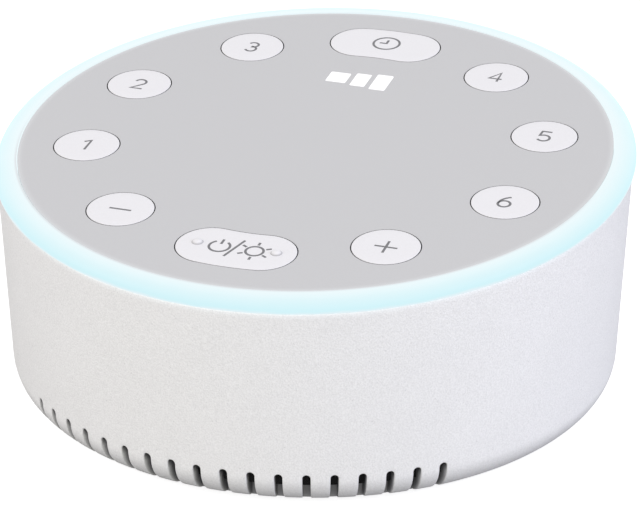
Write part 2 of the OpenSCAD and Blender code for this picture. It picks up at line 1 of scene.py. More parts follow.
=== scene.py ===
"""White noise sound machine: the surfaces, printed signs and finishes of a round table-top case.

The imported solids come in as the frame. The outer shell, the light ring, the ten keys and the
loudspeaker's spider and surround are made again as smooth surfaces, the keys get their printed
signs, and every other solid gets its finish. Lengths are metres and the front is towards -Y.
Heights of the case count from the housing's bottom. The top assembly is worked out in the face's
own frame: u to the right, v to the back and w up.
"""

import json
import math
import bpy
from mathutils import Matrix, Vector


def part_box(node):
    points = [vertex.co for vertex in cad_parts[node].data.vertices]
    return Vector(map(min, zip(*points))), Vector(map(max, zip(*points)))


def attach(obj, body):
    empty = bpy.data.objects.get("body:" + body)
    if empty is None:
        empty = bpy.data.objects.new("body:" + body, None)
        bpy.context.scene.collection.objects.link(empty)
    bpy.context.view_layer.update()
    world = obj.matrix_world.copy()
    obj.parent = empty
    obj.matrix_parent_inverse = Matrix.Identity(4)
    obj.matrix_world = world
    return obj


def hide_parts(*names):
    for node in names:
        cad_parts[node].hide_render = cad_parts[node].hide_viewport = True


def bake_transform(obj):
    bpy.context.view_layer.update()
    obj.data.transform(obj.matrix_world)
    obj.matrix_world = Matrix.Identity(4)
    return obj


bl_info = {
    "name": "White Noise Sound Machine",
    "version": (1, 0, 0),
    "blender": (4, 5, 0),
    "location": "3D View > Sidebar > Sound Machine",
    "description": "Surfaces, printed signs and finishes of a white noise sound machine",
    "category": "Object",
}

from types import SimpleNamespace

import bmesh
import bpy
import numpy as np
from mathutils import Vector

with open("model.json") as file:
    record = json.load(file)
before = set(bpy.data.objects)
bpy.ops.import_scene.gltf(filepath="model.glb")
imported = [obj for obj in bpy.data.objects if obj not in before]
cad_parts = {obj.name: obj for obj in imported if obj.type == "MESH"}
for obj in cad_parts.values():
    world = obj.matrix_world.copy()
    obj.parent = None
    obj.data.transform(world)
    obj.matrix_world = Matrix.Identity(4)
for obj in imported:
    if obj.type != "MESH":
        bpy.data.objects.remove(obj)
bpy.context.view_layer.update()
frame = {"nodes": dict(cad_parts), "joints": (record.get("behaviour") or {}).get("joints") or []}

MM = 0.001
KEY_ANGLES = {
    "key_power_light": 0,
    "key_timer": 180,
    "key_volume_up": 36,
    "key_volume_down": -36,
    "key_sound_1": -72,
    "key_sound_2": -108,
    "key_sound_3": -144,
    "key_sound_4": 144,
    "key_sound_5": 108,
    "key_sound_6": 72,
}
WIDE_KEYS = ("key_power_light", "key_timer")
SCREW_ANGLES = (45, 135, 225, 315)
LUG_ANGLES = (54, 126, 234, 306)
ARCH_POINTS = 9
CELL_ANGLE = 1.5


# ---------- settings ----------


def length(name, description, default):
    return bpy.props.FloatProperty(
        name=name, description=description, default=default, min=0, unit="LENGTH", precision=5
    )


def turn_angle(name, description, degrees):
    return bpy.props.FloatProperty(
        name=name, description=description, default=math.radians(degrees), unit="ROTATION"
    )


def colour(name, description, red, green, blue):
    """A colour setting. Its default is given as the 0 to 255 values that it shows on a screen."""
    shown = [value / 255 for value in (red, green, blue)]
    return bpy.props.FloatVectorProperty(
        name=name, description=description, default=shown, subtype="COLOR_GAMMA", min=0, max=1
    )


class MachineCase(bpy.types.PropertyGroup):
    ring_diameter: length("Ring diameter", "Widest part of the top", 0.115)
    ring_height: length("Ring height", "Ring's inner edge above the housing, halfway back", 0.0448)
    ring_over: length("Ring overhang", "How far the ring stands out past the wall", 0.00044)
    wall_lean: turn_angle("Wall lean", "Outward lean of the housing's wall", 2.51)
    corner_radius: length("Corner radius", "Round corner at the housing's bottom", 0.0062)
    wall_thickness: length("Wall thickness", "Thickness of the housing's wall", 0.0024)
    slot_count: bpy.props.IntProperty(
        name="Slots", description="Number of sound slots", default=18, min=2
    )
    slot_pitch: turn_angle("Slot pitch", "Angle from one slot to the next", 4.94)
    slot_turn: turn_angle("Slot turn", "Turn of the comb's middle towards the right", 0.4)
    slot_width: length("Slot width", "Width of a sound slot", 0.0014)
    slot_top: length("Slot top", "Height of a slot's round top", 0.0068)
    edge_round: length("Edge rounding", "Rounding of the slots' and the inlet's edges", 0.00018)
    rim_round: length("Rim rounding", "Rounding of the housing's rim under the ring", 0.00025)
    inlet_height: length("Inlet height", "Middle of the power inlet's opening", 0.0195)
    inlet_radius: length("Inlet radius", "Radius of the power inlet's opening", 0.00525)


class MachineTop(bpy.types.PropertyGroup):
    face_radius: length("Face radius", "Radius of the face plate", 0.0534)
    face_drop: length("Face depth", "Face plate's depth below the ring's inner edge", 0.00016)
    ring_edge: length("Ring edge", "Height of the light ring's rounded outer edge", 0.0021)
    key_circle: length("Key circle", "Radius of the circle that the keys stand on", 0.0411)
    key_radius: length("Key radius", "Radius of a round key and of a wide key's ends", 0.0059)
    wide_half: turn_angle("Wide key", "From a wide key's middle to its round end", 6.6)
    key_proud: length("Key height", "Height of a key's top above the face plate", 0.00005)
    key_edge: length("Key edge", "Rounding of a key's upper edge", 0.0001)
    dot_radius: length("Touch dot radius", "Radius of the two raised dots", 0.00105)
    dot_height: length("Touch dot height", "Height of the two raised dots", 0.00045)
    stroke: length("Sign stroke", "Stroke width of the printed signs", 0.00044)
    digit_height: length("Digit height", "Height of the printed numbers", 0.0036)


class MachineColours(bpy.types.PropertyGroup):
    shell: colour("Shell", "Housing", 229, 229, 228)
    # Painted shade: the colour mixed in deep inside the slots, at their feet and round the bottom
    # corner; the shell's dark specks also take it.
    slot: colour("Slots", "Housing deep inside the slots", 104, 104, 106)
    # Painted shade under the slots' round tops.
    slot_top: colour("Slot tops", "Housing at the slots' round tops", 30, 30, 32)
    face: colour("Face", "Face plate", 192, 192, 193)
    key: colour("Keys", "Key caps", 224, 223, 225)
    # Painted shade on the walls of the gaps round the keys and at the touch dots' feet.
    gap: colour("Gaps", "Walls of the gaps round the keys", 122, 122, 124)
    ink: colour("Ink", "Printed signs", 118, 118, 120)
    # Painted shade: the ring's glow dimmed along the front of its inner lip.
    lip_painted_shade: colour("Glow at the lip", "Light ring's dim inner lip", 218, 222, 225)
    glow_inside: colour("Glow inside", "Light ring towards the face", 238, 251, 254)
    glow_middle: colour("Glow middle", "Light ring where its edge begins to fall", 229, 250, 254)
    glow_outside: colour("Glow outside", "Light ring low on its outer edge", 213, 247, 253)
    glow_edge: colour("Glow edge", "Light ring's lowest edge, over the wall", 232, 246, 251)
    base: colour("Base", "Base cover", 154, 154, 156)


class MachineStage(bpy.types.PropertyGroup):
    camera_place: bpy.props.FloatVectorProperty(
        name="Camera", description="Place of the camera", default=(0.16971, -0.48793, 0.26031),
        subtype="TRANSLATION", unit="LENGTH",
    )
    camera_aim: bpy.props.FloatVectorProperty(
        name="Aim", description="Point that the camera looks at", default=(0.01673, -0.04545, 0.04562),
        subtype="TRANSLATION", unit="LENGTH",
    )
    focal_length: bpy.props.FloatProperty(
        name="Focal length", description="Lens of the camera in millimetres", default=175.28
    )
    ambient: bpy.props.FloatProperty(
        name="Ambient", description="Strength of the even light from all sides", default=0.9
    )
    floor_white: bpy.props.FloatProperty(
        name="Floor white", description="Brightness that the camera sees added to the floor",
        default=0.84,
    )


SETTINGS = {
    "machine_case": MachineCase,
    "machine_top": MachineTop,
    "machine_colours": MachineColours,
    "machine_stage": MachineStage,
}


def plan():
    """The places that follow from the settings: the wall's line, the corner's centre, the face's
    height and slope, and the depths at which the ring, the face plate and the keys sit."""
    case = bpy.context.scene.machine_case
    top = bpy.context.scene.machine_top
    press = next(j for j in frame["joints"] if j["name"] == "key_timer_press")
    p = SimpleNamespace(case=case, top=top)
    p.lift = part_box("base_cover")[0].z
    p.tilt = math.atan2(press["axis"][1], -press["axis"][2])
    p.ring_r = case.ring_diameter / 2
    p.lean = math.tan(case.wall_lean)
    p.base_r = p.ring_r - case.ring_over - p.lean * (case.ring_height - top.ring_edge)
    p.corner_x = (
        p.base_r + p.lean * case.corner_radius - case.corner_radius / math.cos(case.wall_lean)
    )
    p.shift = p.lean * math.tan(p.tilt) * p.ring_r
    p.face_z = case.ring_height + p.shift * math.tan(p.tilt)
    p.lip_r = top.face_radius + 0.1 * MM
    p.face_top = -top.face_drop
    p.key_top = p.face_top + top.key_proud
    p.ring_seat = -2.2 * MM
    p.plate_under = -2.2 * MM
    p.flange_top = p.plate_under - 0.05 * MM
    p.collar_r = 55.9 * MM
    p.collar_bottom = -4.2 * MM
    p.bore_r = p.corner_x + 1.455 * MM
    p.inner_low = (p.bore_r, 2.6 * MM)
    p.inner_step_h = p.inner_low[1] + 1 * MM
    p.inner_base = p.base_r - case.wall_thickness / math.cos(case.wall_lean)
    return p


def on_face(points, p):
    """Turns points of the face's frame, (u, v, w), by the face's slope and sets them on the case."""
    u, v, w = np.moveaxis(np.asarray(points, float), -1, 0)
    slope_s, slope_c = math.sin(p.tilt), math.cos(p.tilt)
    y = p.shift + v * slope_c - w * slope_s
    z = p.lift + p.face_z + v * slope_s + w * slope_c
    return np.stack([u, y, z], -1)


def polar(radius, angle):
    """Points at a radius and an angle that starts at the front and grows to the right."""
    radius, angle = np.broadcast_arrays(radius, angle)
    return np.stack([radius * np.sin(angle), -radius * np.cos(angle)], -1)


def with_depth(flat, w):
    """Flat points given a third value, w."""
    return np.concatenate([flat, np.broadcast_to(w, flat.shape[:-1])[..., None]], -1)


# ---------- meshes ----------


class Shape:
    """The points and faces of one piece, gathered from grids."""

    def __init__(self):
        self.points = []
        self.faces = []
        self.count = 0

    def grid(self, points, wrap_rows=False, wrap_columns=False, keep=None):
        """A face between each four neighbours of a grid of points. Where keep is false, none."""
        points = np.asarray(points, float)
        rows, columns = points.shape[:2]
        i = np.arange(rows if wrap_rows else rows - 1)[:, None]
        j = np.arange(columns if wrap_columns else columns - 1)[None, :]
        next_i, next_j = (i + 1) % rows, (j + 1) % columns
        corners = [(i, j), (i, next_j), (next_i, next_j), (next_i, j)]
        quads = np.stack([a * columns + b for a, b in corners], -1) + self.count
        quads = quads[keep] if keep is not None else quads.reshape(-1, 4)
        self.points.append(points.reshape(-1, 3))
        self.faces.extend(quads.tolist())
        self.count += rows * columns

    def loft(self, rings):
        """A closed skin over a stack of rings. Its first and last ring shrink to their middles."""
        rings = np.asarray(rings, float)
        ends = [
            np.broadcast_to(ring.mean(0), ring.shape)[None] for ring in (rings[0], rings[-1])
        ]
        self.grid(np.concatenate([ends[0], rings, ends[1]]), wrap_columns=True)

    def object(self, name, sharp_degrees=32):
        """The piece itself: doubles merged, slivers closed, faces turned outwards, smooth but for
        sharp edges."""
        merge, sliver, sliver_sides = 0.0005 * MM, 0.0001 * MM, 8
        mesh = bpy.data.meshes.new(name)
        mesh.from_pydata(np.concatenate(self.points).tolist(), [], self.faces)
        build = bmesh.new()
        build.from_mesh(mesh)
        bmesh.ops.remove_doubles(build, verts=build.verts, dist=merge)
        bmesh.ops.dissolve_degenerate(build, edges=build.edges, dist=sliver)
        rims = [edge for edge in build.edges if edge.is_boundary]
        bmesh.ops.holes_fill(build, edges=rims, sides=sliver_sides)
        bmesh.ops.recalc_face_normals(build, faces=build.faces)
        build.to_mesh(mesh)
        build.free()
        mesh.shade_smooth()
        mesh.set_sharp_from_angle(angle=math.radians(sharp_degrees))
        made = bpy.data.objects.new(name, mesh)
        bpy.context.scene.collection.objects.link(made)
        return made


def dress(piece, finish, body, replaces=()):
    """Gives a new piece its finish and the body it rides on, and hides the nodes that it stands for."""
    piece.data.materials.append(finish.material)
    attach(piece, body)
    if replaces:
        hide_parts(*replaces)
    return piece


def circle_ring(centre, radius, h, count=32):
    """A level ring of points round a centre (x, y) at height h."""
    t = np.linspace(0, 2 * math.pi, count, endpoint=False)
    flat = np.asarray(centre) + radius * np.stack([np.cos(t), np.sin(t)], -1)
    return with_depth(flat, h)


def turned(section, count):
    """Rings of points: the (radius, height) pairs of a section, carried round the axis."""
    angle = np.linspace(0, 2 * math.pi, count, endpoint=False)
    return with_depth(polar(section[:, :1], angle[None, :]), section[:, 1:])


def add_tube(shape, centre, section, place):
    """A round tube: its section, (radius, height) pairs in millimetres, carried round the centre."""
    rings = np.stack([circle_ring(centre, radius * MM, h * MM) for radius, h in section])
    shape.grid(place(rings), wrap_rows=True, wrap_columns=True)


# ---------- finishes ----------


class Link:
    """An output socket of a finish. Arithmetic on it adds Math nodes."""

    def __init__(self, finish, socket):
        self.finish = finish
        self.socket = socket

    def __add__(self, other):
        return self.finish.math("ADD", self, other)

    def __sub__(self, other):
        return self.finish.math("SUBTRACT", self, other)

    def __rsub__(self, other):
        return self.finish.math("SUBTRACT", other, self)

    def __mul__(self, other):
        return self.finish.math("MULTIPLY", self, other)

    def __truediv__(self, other):
        return self.finish.math("DIVIDE", self, other)

    def __pow__(self, other):
        return self.finish.math("POWER", self, other)

    __radd__ = __add__
    __rmul__ = __mul__


class Finish:
    """A material made of nodes that end in one Principled BSDF."""

    def __init__(self, name):
        self.material = bpy.data.materials.new(name)
        self.material.use_nodes = True
        self.tree = self.material.node_tree
        self.tree.nodes.clear()
        self.surface = self.tree.nodes.new("ShaderNodeBsdfPrincipled")
        output = self.tree.nodes.new("ShaderNodeOutputMaterial")
        self.tree.links.new(self.surface.outputs[0], output.inputs["Surface"])

    def feed(self, socket, value):
        if isinstance(value, Link):
            self.tree.links.new(value.socket, socket)
        else:
            socket.default_value = value

    def node(self, kind, settings=None, values=None, output=0):
        """Adds a node: its settings first, then the values or links of its sockets."""
        made = self.tree.nodes.new(kind)
        for name, value in (settings or {}).items():
            if name == "stops":
                self.set_stops(made.color_ramp.elements, value)
            else:
                setattr(made, name, value)
        for name, value in (values or {}).items():
            self.feed(made.inputs[name], value)
        return Link(self, made.outputs[output])

    def math(self, operation, *values):
        """A Math node on values and links."""
        return self.node("ShaderNodeMath", {"operation": operation}, dict(enumerate(values)))

    @staticmethod
    def set_stops(elements, stops):
        while len(elements) < len(stops):
            elements.new(0.5)
        for element, (position, value) in zip(elements, stops):
            element.position = position
            element.color = value

    def set(self, values):
        """Sets or links sockets of the surface."""
        for name, value in values.items():
            self.feed(self.surface.inputs[name], value)
        return self

    def place(self):
        return self.node("ShaderNodeTexCoord", output="Object")

    def axes(self, vector):
        """The three parts of a vector."""
        split = self.node("ShaderNodeSeparateXYZ", values={0: vector})
        return [Link(self, socket) for socket in split.socket.node.outputs]

    def noise(self, size, detail=2.0, roughness=0.5, stretch=(1, 1, 1)):
        """Cloudy noise whose spots are about size across, stretched along the axes."""
        at = self.node(
            "ShaderNodeMapping", values={"Vector": self.place(), "Scale": [1 / s for s in stretch]}
        )
        values = {"Vector": at, "Scale": 1 / size, "Detail": detail, "Roughness": roughness}
        return self.node("ShaderNodeTexNoise", values=values)

    def span(self, value, low, high, start=0.0, end=1.0):
        """A value between low and high, spread evenly over start to end and held there."""
        values = {0: value, 1: low, 2: high, 3: start, 4: end}
        return self.node("ShaderNodeMapRange", values=values)

    def ramp(self, value, stops):
        """A colour that follows a value through stops, each a value and a colour."""
        low, high = stops[0][0], stops[-1][0]
        places = [((at - low) / (high - low), shade) for at, shade in stops]
        share = self.span(value, low, high)
        return self.node("ShaderNodeValToRGB", {"stops": places}, {0: share})

    def face_place(self, p):
        """The radius from the face's middle, the way to the back and the height, on the face."""
        middle = Vector((0, p.shift, p.lift + p.face_z))
        settings = {"operation": "SUBTRACT"}
        offset = self.node("ShaderNodeVectorMath", settings, {0: self.place(), 1: middle})
        turned = {"Vector": offset, "Rotation": (-p.tilt, 0, 0)}
        u, v, w = self.axes(self.node("ShaderNodeMapping", values=turned))
        return (u * u + v * v) ** 0.5, v, w

    def skin_place(self, p):
        """The height above the housing's bottom, and the depth below the housing's skin there."""
        x, y, z = self.axes(self.place())
        h = z - p.lift
        reach = p.case.corner_radius
        below = reach - self.math("MINIMUM", h, reach)
        over = self.math("MAXIMUM", h - reach, 0.0)
        skin = p.corner_x + (reach**2 - below * below) ** 0.5 + over * p.lean
        return h, skin - (x * x + y * y) ** 0.5

    def shade(self, share, colour):
        """Mixes another colour into the base colour, by share."""
        socket = self.surface.inputs["Base Color"].links[0].from_socket
        return self.set({"Base Color": self.mix(share, Link(self, socket), colour)})

    def mix(self, factor, first, second):
        """A colour between two colours."""
        settings = {"data_type": "RGBA"}
        return self.node("ShaderNodeMix", settings, {0: factor, 6: first, 7: second}, output=2)

    def bump(self, height, distance):
        values = {"Height": height, "Distance": distance, "Strength": 1.0}
        return self.node("ShaderNodeBump", values=values)


def linear(shown, shade=1.0):
    """A colour's linear values with alpha, from its 0 to 1 screen values, times shade."""
    values = [
        v / 12.92 if v <= 0.04045 else ((v + 0.055) / 1.055) ** 2.4 for v in shown
    ]
    return [v * shade for v in values] + [1.0]


def screen(red, green, blue):
    """0 to 1 screen values from 0 to 255 ones."""
    return [red / 255, green / 255, blue / 255]


def moulded(name, shown, rough=0.5, grain=0.5, depth=0.01, spread=0.03, specular=0.4):
    """Moulded plastic: a fine speckle of two close tones over faint clouds, a satin roughness
    that follows the speckle, and the same speckle as a shallow relief. Grain is in millimetres."""
    finish = Finish(name)
    speckle = finish.span(finish.noise(grain * MM, 3, 0.6), 0.32, 0.68)
    clouds = finish.noise(9 * MM, 1)
    tone = speckle * 0.8 + clouds * 0.2
    dark, light = linear(shown, 1 - spread), linear(shown, 1 + spread)
    return finish.set({
        "Base Color": finish.mix(tone, dark, light),
        "Roughness": rough - 0.06 + speckle * 0.12,
        "Specular IOR Level": specular,
        "Normal": finish.bump(speckle, depth * MM),
    })


def metal(name, shown, rough, line=(1, 1, 1)):
    """Metal with a faint drawn or plated grain, which a long line stretches into streaks."""
    finish = Finish(name)
    grain = finish.noise(0.3 * MM, 3, 0.6, stretch=line)
    stains = finish.noise(6 * MM, 2)
    tone = grain * 0.5 + stains * 0.5
    return finish.set({
        "Base Color": finish.mix(tone, linear(shown, 0.8), linear(shown, 1.05)),
        "Metallic": 1.0,
        "Roughness": rough - 0.1 + grain * 0.2,
        "Normal": finish.bump(grain, 0.004 * MM),
    })


def woven(name, shown, pitch):
    """Woven cloth: threads over and under each other, the product of two sine waves. The threads'
    pitch is in millimetres."""
    finish = Finish(name)
    x, y, z = finish.axes(finish.place())
    turn = 2 * math.pi / (pitch * MM)
    across = finish.math("SINE", (x + y) * turn)
    along = finish.math("SINE", z * turn)
    weave = across * along * 0.5 + 0.5
    fuzz = finish.noise(0.2 * MM, 2)
    return finish.set({
        "Base Color": finish.mix(weave * 0.7 + fuzz * 0.3, linear(shown, 0.55), linear(shown, 1.3)),
        "Roughness": 0.9 - 0.1 * weave,
        "Normal": finish.bump(weave, 0.12 * MM),
    })


def soft_skin(name, shown, rough, pore, depth):
    """Rubber, foam or paper: matt, with pores of a given size in millimetres."""
    finish = Finish(name)
    pores = finish.noise(pore * MM, 4, 0.7)
    dust = finish.noise(5 * MM, 2)
    return finish.set({
        "Base Color": finish.mix(pores * 0.6 + dust * 0.4, linear(shown, 0.75), linear(shown, 1.2)),
        "Roughness": rough + 0.15 * dust,
        "Normal": finish.bump(pores, depth * MM),
    })


def board(name, mask, copper):
    """A circuit board: solder mask over tracks, which run in steps along and across the board."""
    finish = Finish(name)
    x, y, _ = finish.axes(finish.place())
    pitch = 0.9 * MM
    region = finish.math("GREATER_THAN", finish.noise(7 * MM, 0), 0.5)
    stripe_x, stripe_y = (finish.math("PINGPONG", way, pitch) / pitch for way in (x, y))
    stripe = stripe_x * region + stripe_y * (1 - region)
    track = finish.span(stripe, 0.55, 0.65)
    return finish.set({
        "Base Color": finish.mix(track, linear(mask), linear(copper)),
        "Roughness": 0.38 - 0.08 * track,
        "Coat Weight": 0.3,
        "Normal": finish.bump(track, 0.03 * MM),
    })


def wound(name, shown):
    """A coil of fine wire: level rings a wire apart, with a painted highlight where a wire is roundest.
    """
    finish = Finish(name)
    _, _, z = finish.axes(finish.place())
    wire = 0.12 * MM
    turn = 2 * math.pi / wire
    rounds = finish.math("SINE", z * turn) * 0.5 + 0.5
    return finish.set({
        # Painted highlight and shade across each wire's round.
        "Base Color": finish.mix(rounds, linear(shown, 0.45), linear(shown, 1.1)),
        "Metallic": 0.9,
        "Roughness": 0.45 - 0.1 * rounds,
        "Normal": finish.bump(rounds, 0.02 * MM),
    })


def glowing(name, colours, p):
    """The lit ring. Its colour follows the way out along its section, which is the distance out
    from the lip plus the depth below it, and a painted shade dims a narrow band along the front of the
    lip."""
    finish = Finish(name)
    radius, v, w = finish.face_place(p)
    out = radius - p.lip_r
    haze = finish.noise(6 * MM, 2)
    stops = [
        (0.8 * MM, linear(colours.glow_inside)),
        (2.6 * MM, linear(colours.glow_middle)),
        (5.3 * MM, linear(colours.glow_outside)),
        (5.7 * MM, linear(colours.glow_outside)),
        (6.2 * MM, linear(colours.glow_edge)),
    ]
    light = finish.ramp(out - w + (haze - 0.5) * MM, stops)
    # Painted shade along the front of the lip, in both its glow and its base colour.
    front_lip_shade = finish.span(out, 0.02 * MM, 0.06 * MM) * finish.span(out, 0.1 * MM, 0.55 * MM, 1, 0)
    front_lip_shade = front_lip_shade * finish.span(v, -22 * MM, -4 * MM, 1, 0)
    light = finish.mix(front_lip_shade, light, linear(colours.lip_painted_shade))
    return finish.set({
        "Base Color": finish.mix(
            front_lip_shade, linear(colours.glow_inside, 0.05), linear(colours.lip_painted_shade, 0.1)
        ),
        "Roughness": 0.35 + haze * 0.1,
        "Specular IOR Level": 0.1,
        "Emission Color": light,
        "Emission Strength": 0.91,
    })


def add_glow(finish, near, shown, strength):
    """Painted light from the ring: emission on what is close to it, where near is 1, fading out to
    nothing at 0.
    """
    return finish.set({
        "Emission Color": finish.mix(near * near, (0, 0, 0, 1), linear(shown, strength)),
        "Emission Strength": 1.0,
    })


def lit_lens(name):
    """A lit white window with a faint milky variation."""
    finish = Finish(name)
    milk = finish.noise(1.2 * MM, 2)
    return finish.set({
        "Base Color": finish.mix(milk, linear((0.2, 0.2, 0.2)), linear((0.25, 0.25, 0.25))),
        "Roughness": 0.4 + 0.1 * milk,
        "Emission Color": finish.mix(milk, linear((0.99, 0.99, 1.0)), linear((1.0, 1.0, 1.0))),
        "Emission Strength": 1.0,
    })


def printed(name, shown):
    """Pad-printed ink: matt and a little uneven in density."""
    finish = Finish(name)
    density = finish.noise(0.25 * MM, 3)
    return finish.set({
        "Base Color": finish.mix(density, linear(shown, 0.88), linear(shown, 1.12)),
        "Roughness": 0.6 + 0.1 * density,
        "Specular IOR Level": 0.3,
    })


# ---------- operators: the shell ----------


def arc_rows(p, depth):
    """The corner at the housing's bottom, as (radius, height) pairs: an arc about the corner's
    centre, from the base cover's bore to the foot of the wall, at a depth below the skin."""
    reach = p.case.corner_radius
    start = math.asin((p.bore_r - p.corner_x) / reach)
    rows = 14
    angle = np.linspace(start, math.pi / 2 - p.case.wall_lean, rows)
    return np.stack([
        p.corner_x + (reach - depth) * np.sin(angle),
        reach - (reach - depth) * np.cos(angle),
    ], -1)


def height_at_depth(w, angle, base, p):
    """The height at which a leaning wall, of radius base at its foot, meets the plane at depth w."""
    s, c = math.sin(p.tilt), math.cos(p.tilt)
    return (w + p.face_z * c - (p.shift + base * np.cos(angle)) * s) / (
        c + p.lean * np.cos(angle) * s
    )


def wall_columns(p, half_width, radii):
    """The angle of each column of the wall's grid, for rows of the given radii. Columns keep a fixed
    distance from the middle of their slot, or of the inlet, and the gaps between are divided evenly.
    Returns the angles, and what the cell that each column starts belongs to."""
    count, pitch = p.case.slot_count, p.case.slot_pitch
    across = -half_width * np.cos(np.linspace(0, math.pi, ARCH_POINTS))
    patch = np.linspace(-p.patch, p.patch, p.patch_cells + 1)
    first = p.case.slot_turn - (count - 1) / 2 * pitch
    stops = [(first + i * pitch, across, "slot") for i in range(count)]
    stops.append((math.pi, patch, "inlet"))
    angles, kinds = [], []
    for k, (centre, offsets, kind) in enumerate(stops):
        here = centre + np.arcsin(offsets[None, :] / radii[:, None])
        after_centre, after_offsets, _ = stops[(k + 1) % len(stops)]
        after_centre += 2 * math.pi if k + 1 == len(stops) else 0
        after = after_centre + np.arcsin(after_offsets[0] / radii)
        gap = after - here[:, -1]
        parts = max(4, round(math.degrees(after_centre - centre) / CELL_ANGLE))
        shares = np.arange(1, parts)[None, :] / parts
        between = here[:, -1:] + gap[:, None] * shares
        angles += [here, between]
        kinds += [kind] * (len(offsets) - 1) + ["plain"] * parts
    return np.concatenate(angles, 1), np.array(kinds)


def wall_rows(p, half_width, depth):
    """The wall's rows from its bottom edge to the inlet's upper side. Returns the corner's rows,
    the height of each row in each column, the number of the row that runs over the slots' round
    tops, and the columns' angles and kinds."""
    low = arc_rows(p, depth)
    spring = p.case.slot_top - p.case.slot_width / 2
    clear = p.case.slot_top + 2.2 * MM
    patch_low, patch_high = p.case.inlet_height - p.patch, p.case.inlet_height + p.patch
    blend = np.array([0, 0.35, 0.7, 1])
    upper = np.concatenate([
        [clear + 0.5 * (patch_low - clear)],
        np.linspace(patch_low, patch_high, p.patch_cells + 1),
    ])
    level = np.concatenate([low[:, 1], spring + blend * (clear - spring), upper])
    radii = p.base_r + p.lean * level
    radii[: len(low)] = low[:, 0]
    angles, kinds = wall_columns(p, half_width, radii)
    arch = np.zeros(len(kinds))
    inside = kinds == "slot"
    ends = inside | np.roll(inside, 1)
    slot_shape = half_width * np.sin(np.linspace(0, math.pi, ARCH_POINTS))
    arch[ends] = np.tile(slot_shape, p.case.slot_count)
    heights = np.repeat(level[:, None], len(kinds), 1)
    rows = slice(len(low), len(low) + len(blend))
    heights[rows] += arch[None, :] * (1 - blend)[:, None]
    return low, heights, len(low), angles, kinds


def outer_sheet(p, half_width, depth):
    """The housing's skin at a depth, as (x, y, height) points, with the slots' half width there."""
    low, heights, arch_row, angles, kinds = wall_rows(p, half_width, depth)
    radii = p.base_r + p.lean * heights - depth * math.cos(p.case.wall_lean)
    heights = heights + depth * math.sin(p.case.wall_lean)
    radii[: len(low)] = low[:, :1]
    heights[: len(low)] = low[:, 1:]
    return with_depth(polar(radii, angles), heights), arch_row, angles, kinds


def inner_radius(heights, p):
    """The hollow's radius: the base cover's bore, a short cone and the leaning wall's inner face."""
    bore, bore_top = p.inner_low
    step = p.inner_base + p.lean * p.inner_step_h
    share = np.clip((heights - bore_top) / (p.inner_step_h - bore_top), 0, 1)
    cone, wall = bore + (step - bore) * share, p.inner_base + p.lean * heights
    return np.where(heights < p.inner_step_h, cone, wall)


def inner_sheet(p, half_width):
    """The wall's inner face, row for row behind the skin."""
    _, heights, *_ = wall_rows(p, half_width, 0)
    radii = inner_radius(heights, p)
    angles, _ = wall_columns(p, half_width, radii[:, 0])
    return with_depth(polar(radii, angles), heights), angles


def ring_of_cells(p, sheet_of):
    """The square patch round the inlet, as a function from (radius, share) to a ring of points:
    at share 0 the square of the grid, and at share 1 a circle of that radius. sheet_of gives the
    point of the wall at (x, height)."""
    cells = p.patch_cells
    side = np.linspace(-1, 1, cells + 1)[:-1]
    square = np.concatenate([
        np.stack([side, -np.ones(cells)], -1),
        np.stack([np.ones(cells), side], -1),
        np.stack([-side, np.ones(cells)], -1),
        np.stack([-np.ones(cells), -side], -1),
    ]) * p.patch
    direction = square / np.linalg.norm(square, axis=1)[:, None]
    return lambda radius, share: sheet_of(
        square * (1 - share) + direction * radius * share + [0, p.case.inlet_height]
    )


def back_wall(p, depth):
    """A function from (x, height) to the point of the back wall there, at a depth below the skin.
    With no depth it is the point of the wall's inner face."""

    def at(flat):
        x, h = flat[..., 0], flat[..., 1]
        if depth is None:
            radius = inner_radius(h, p)
        else:
            radius = p.base_r + p.lean * h - depth / math.cos(p.case.wall_lean)
        return np.stack([x, np.sqrt(radius**2 - x**2), h], -1)

    return at


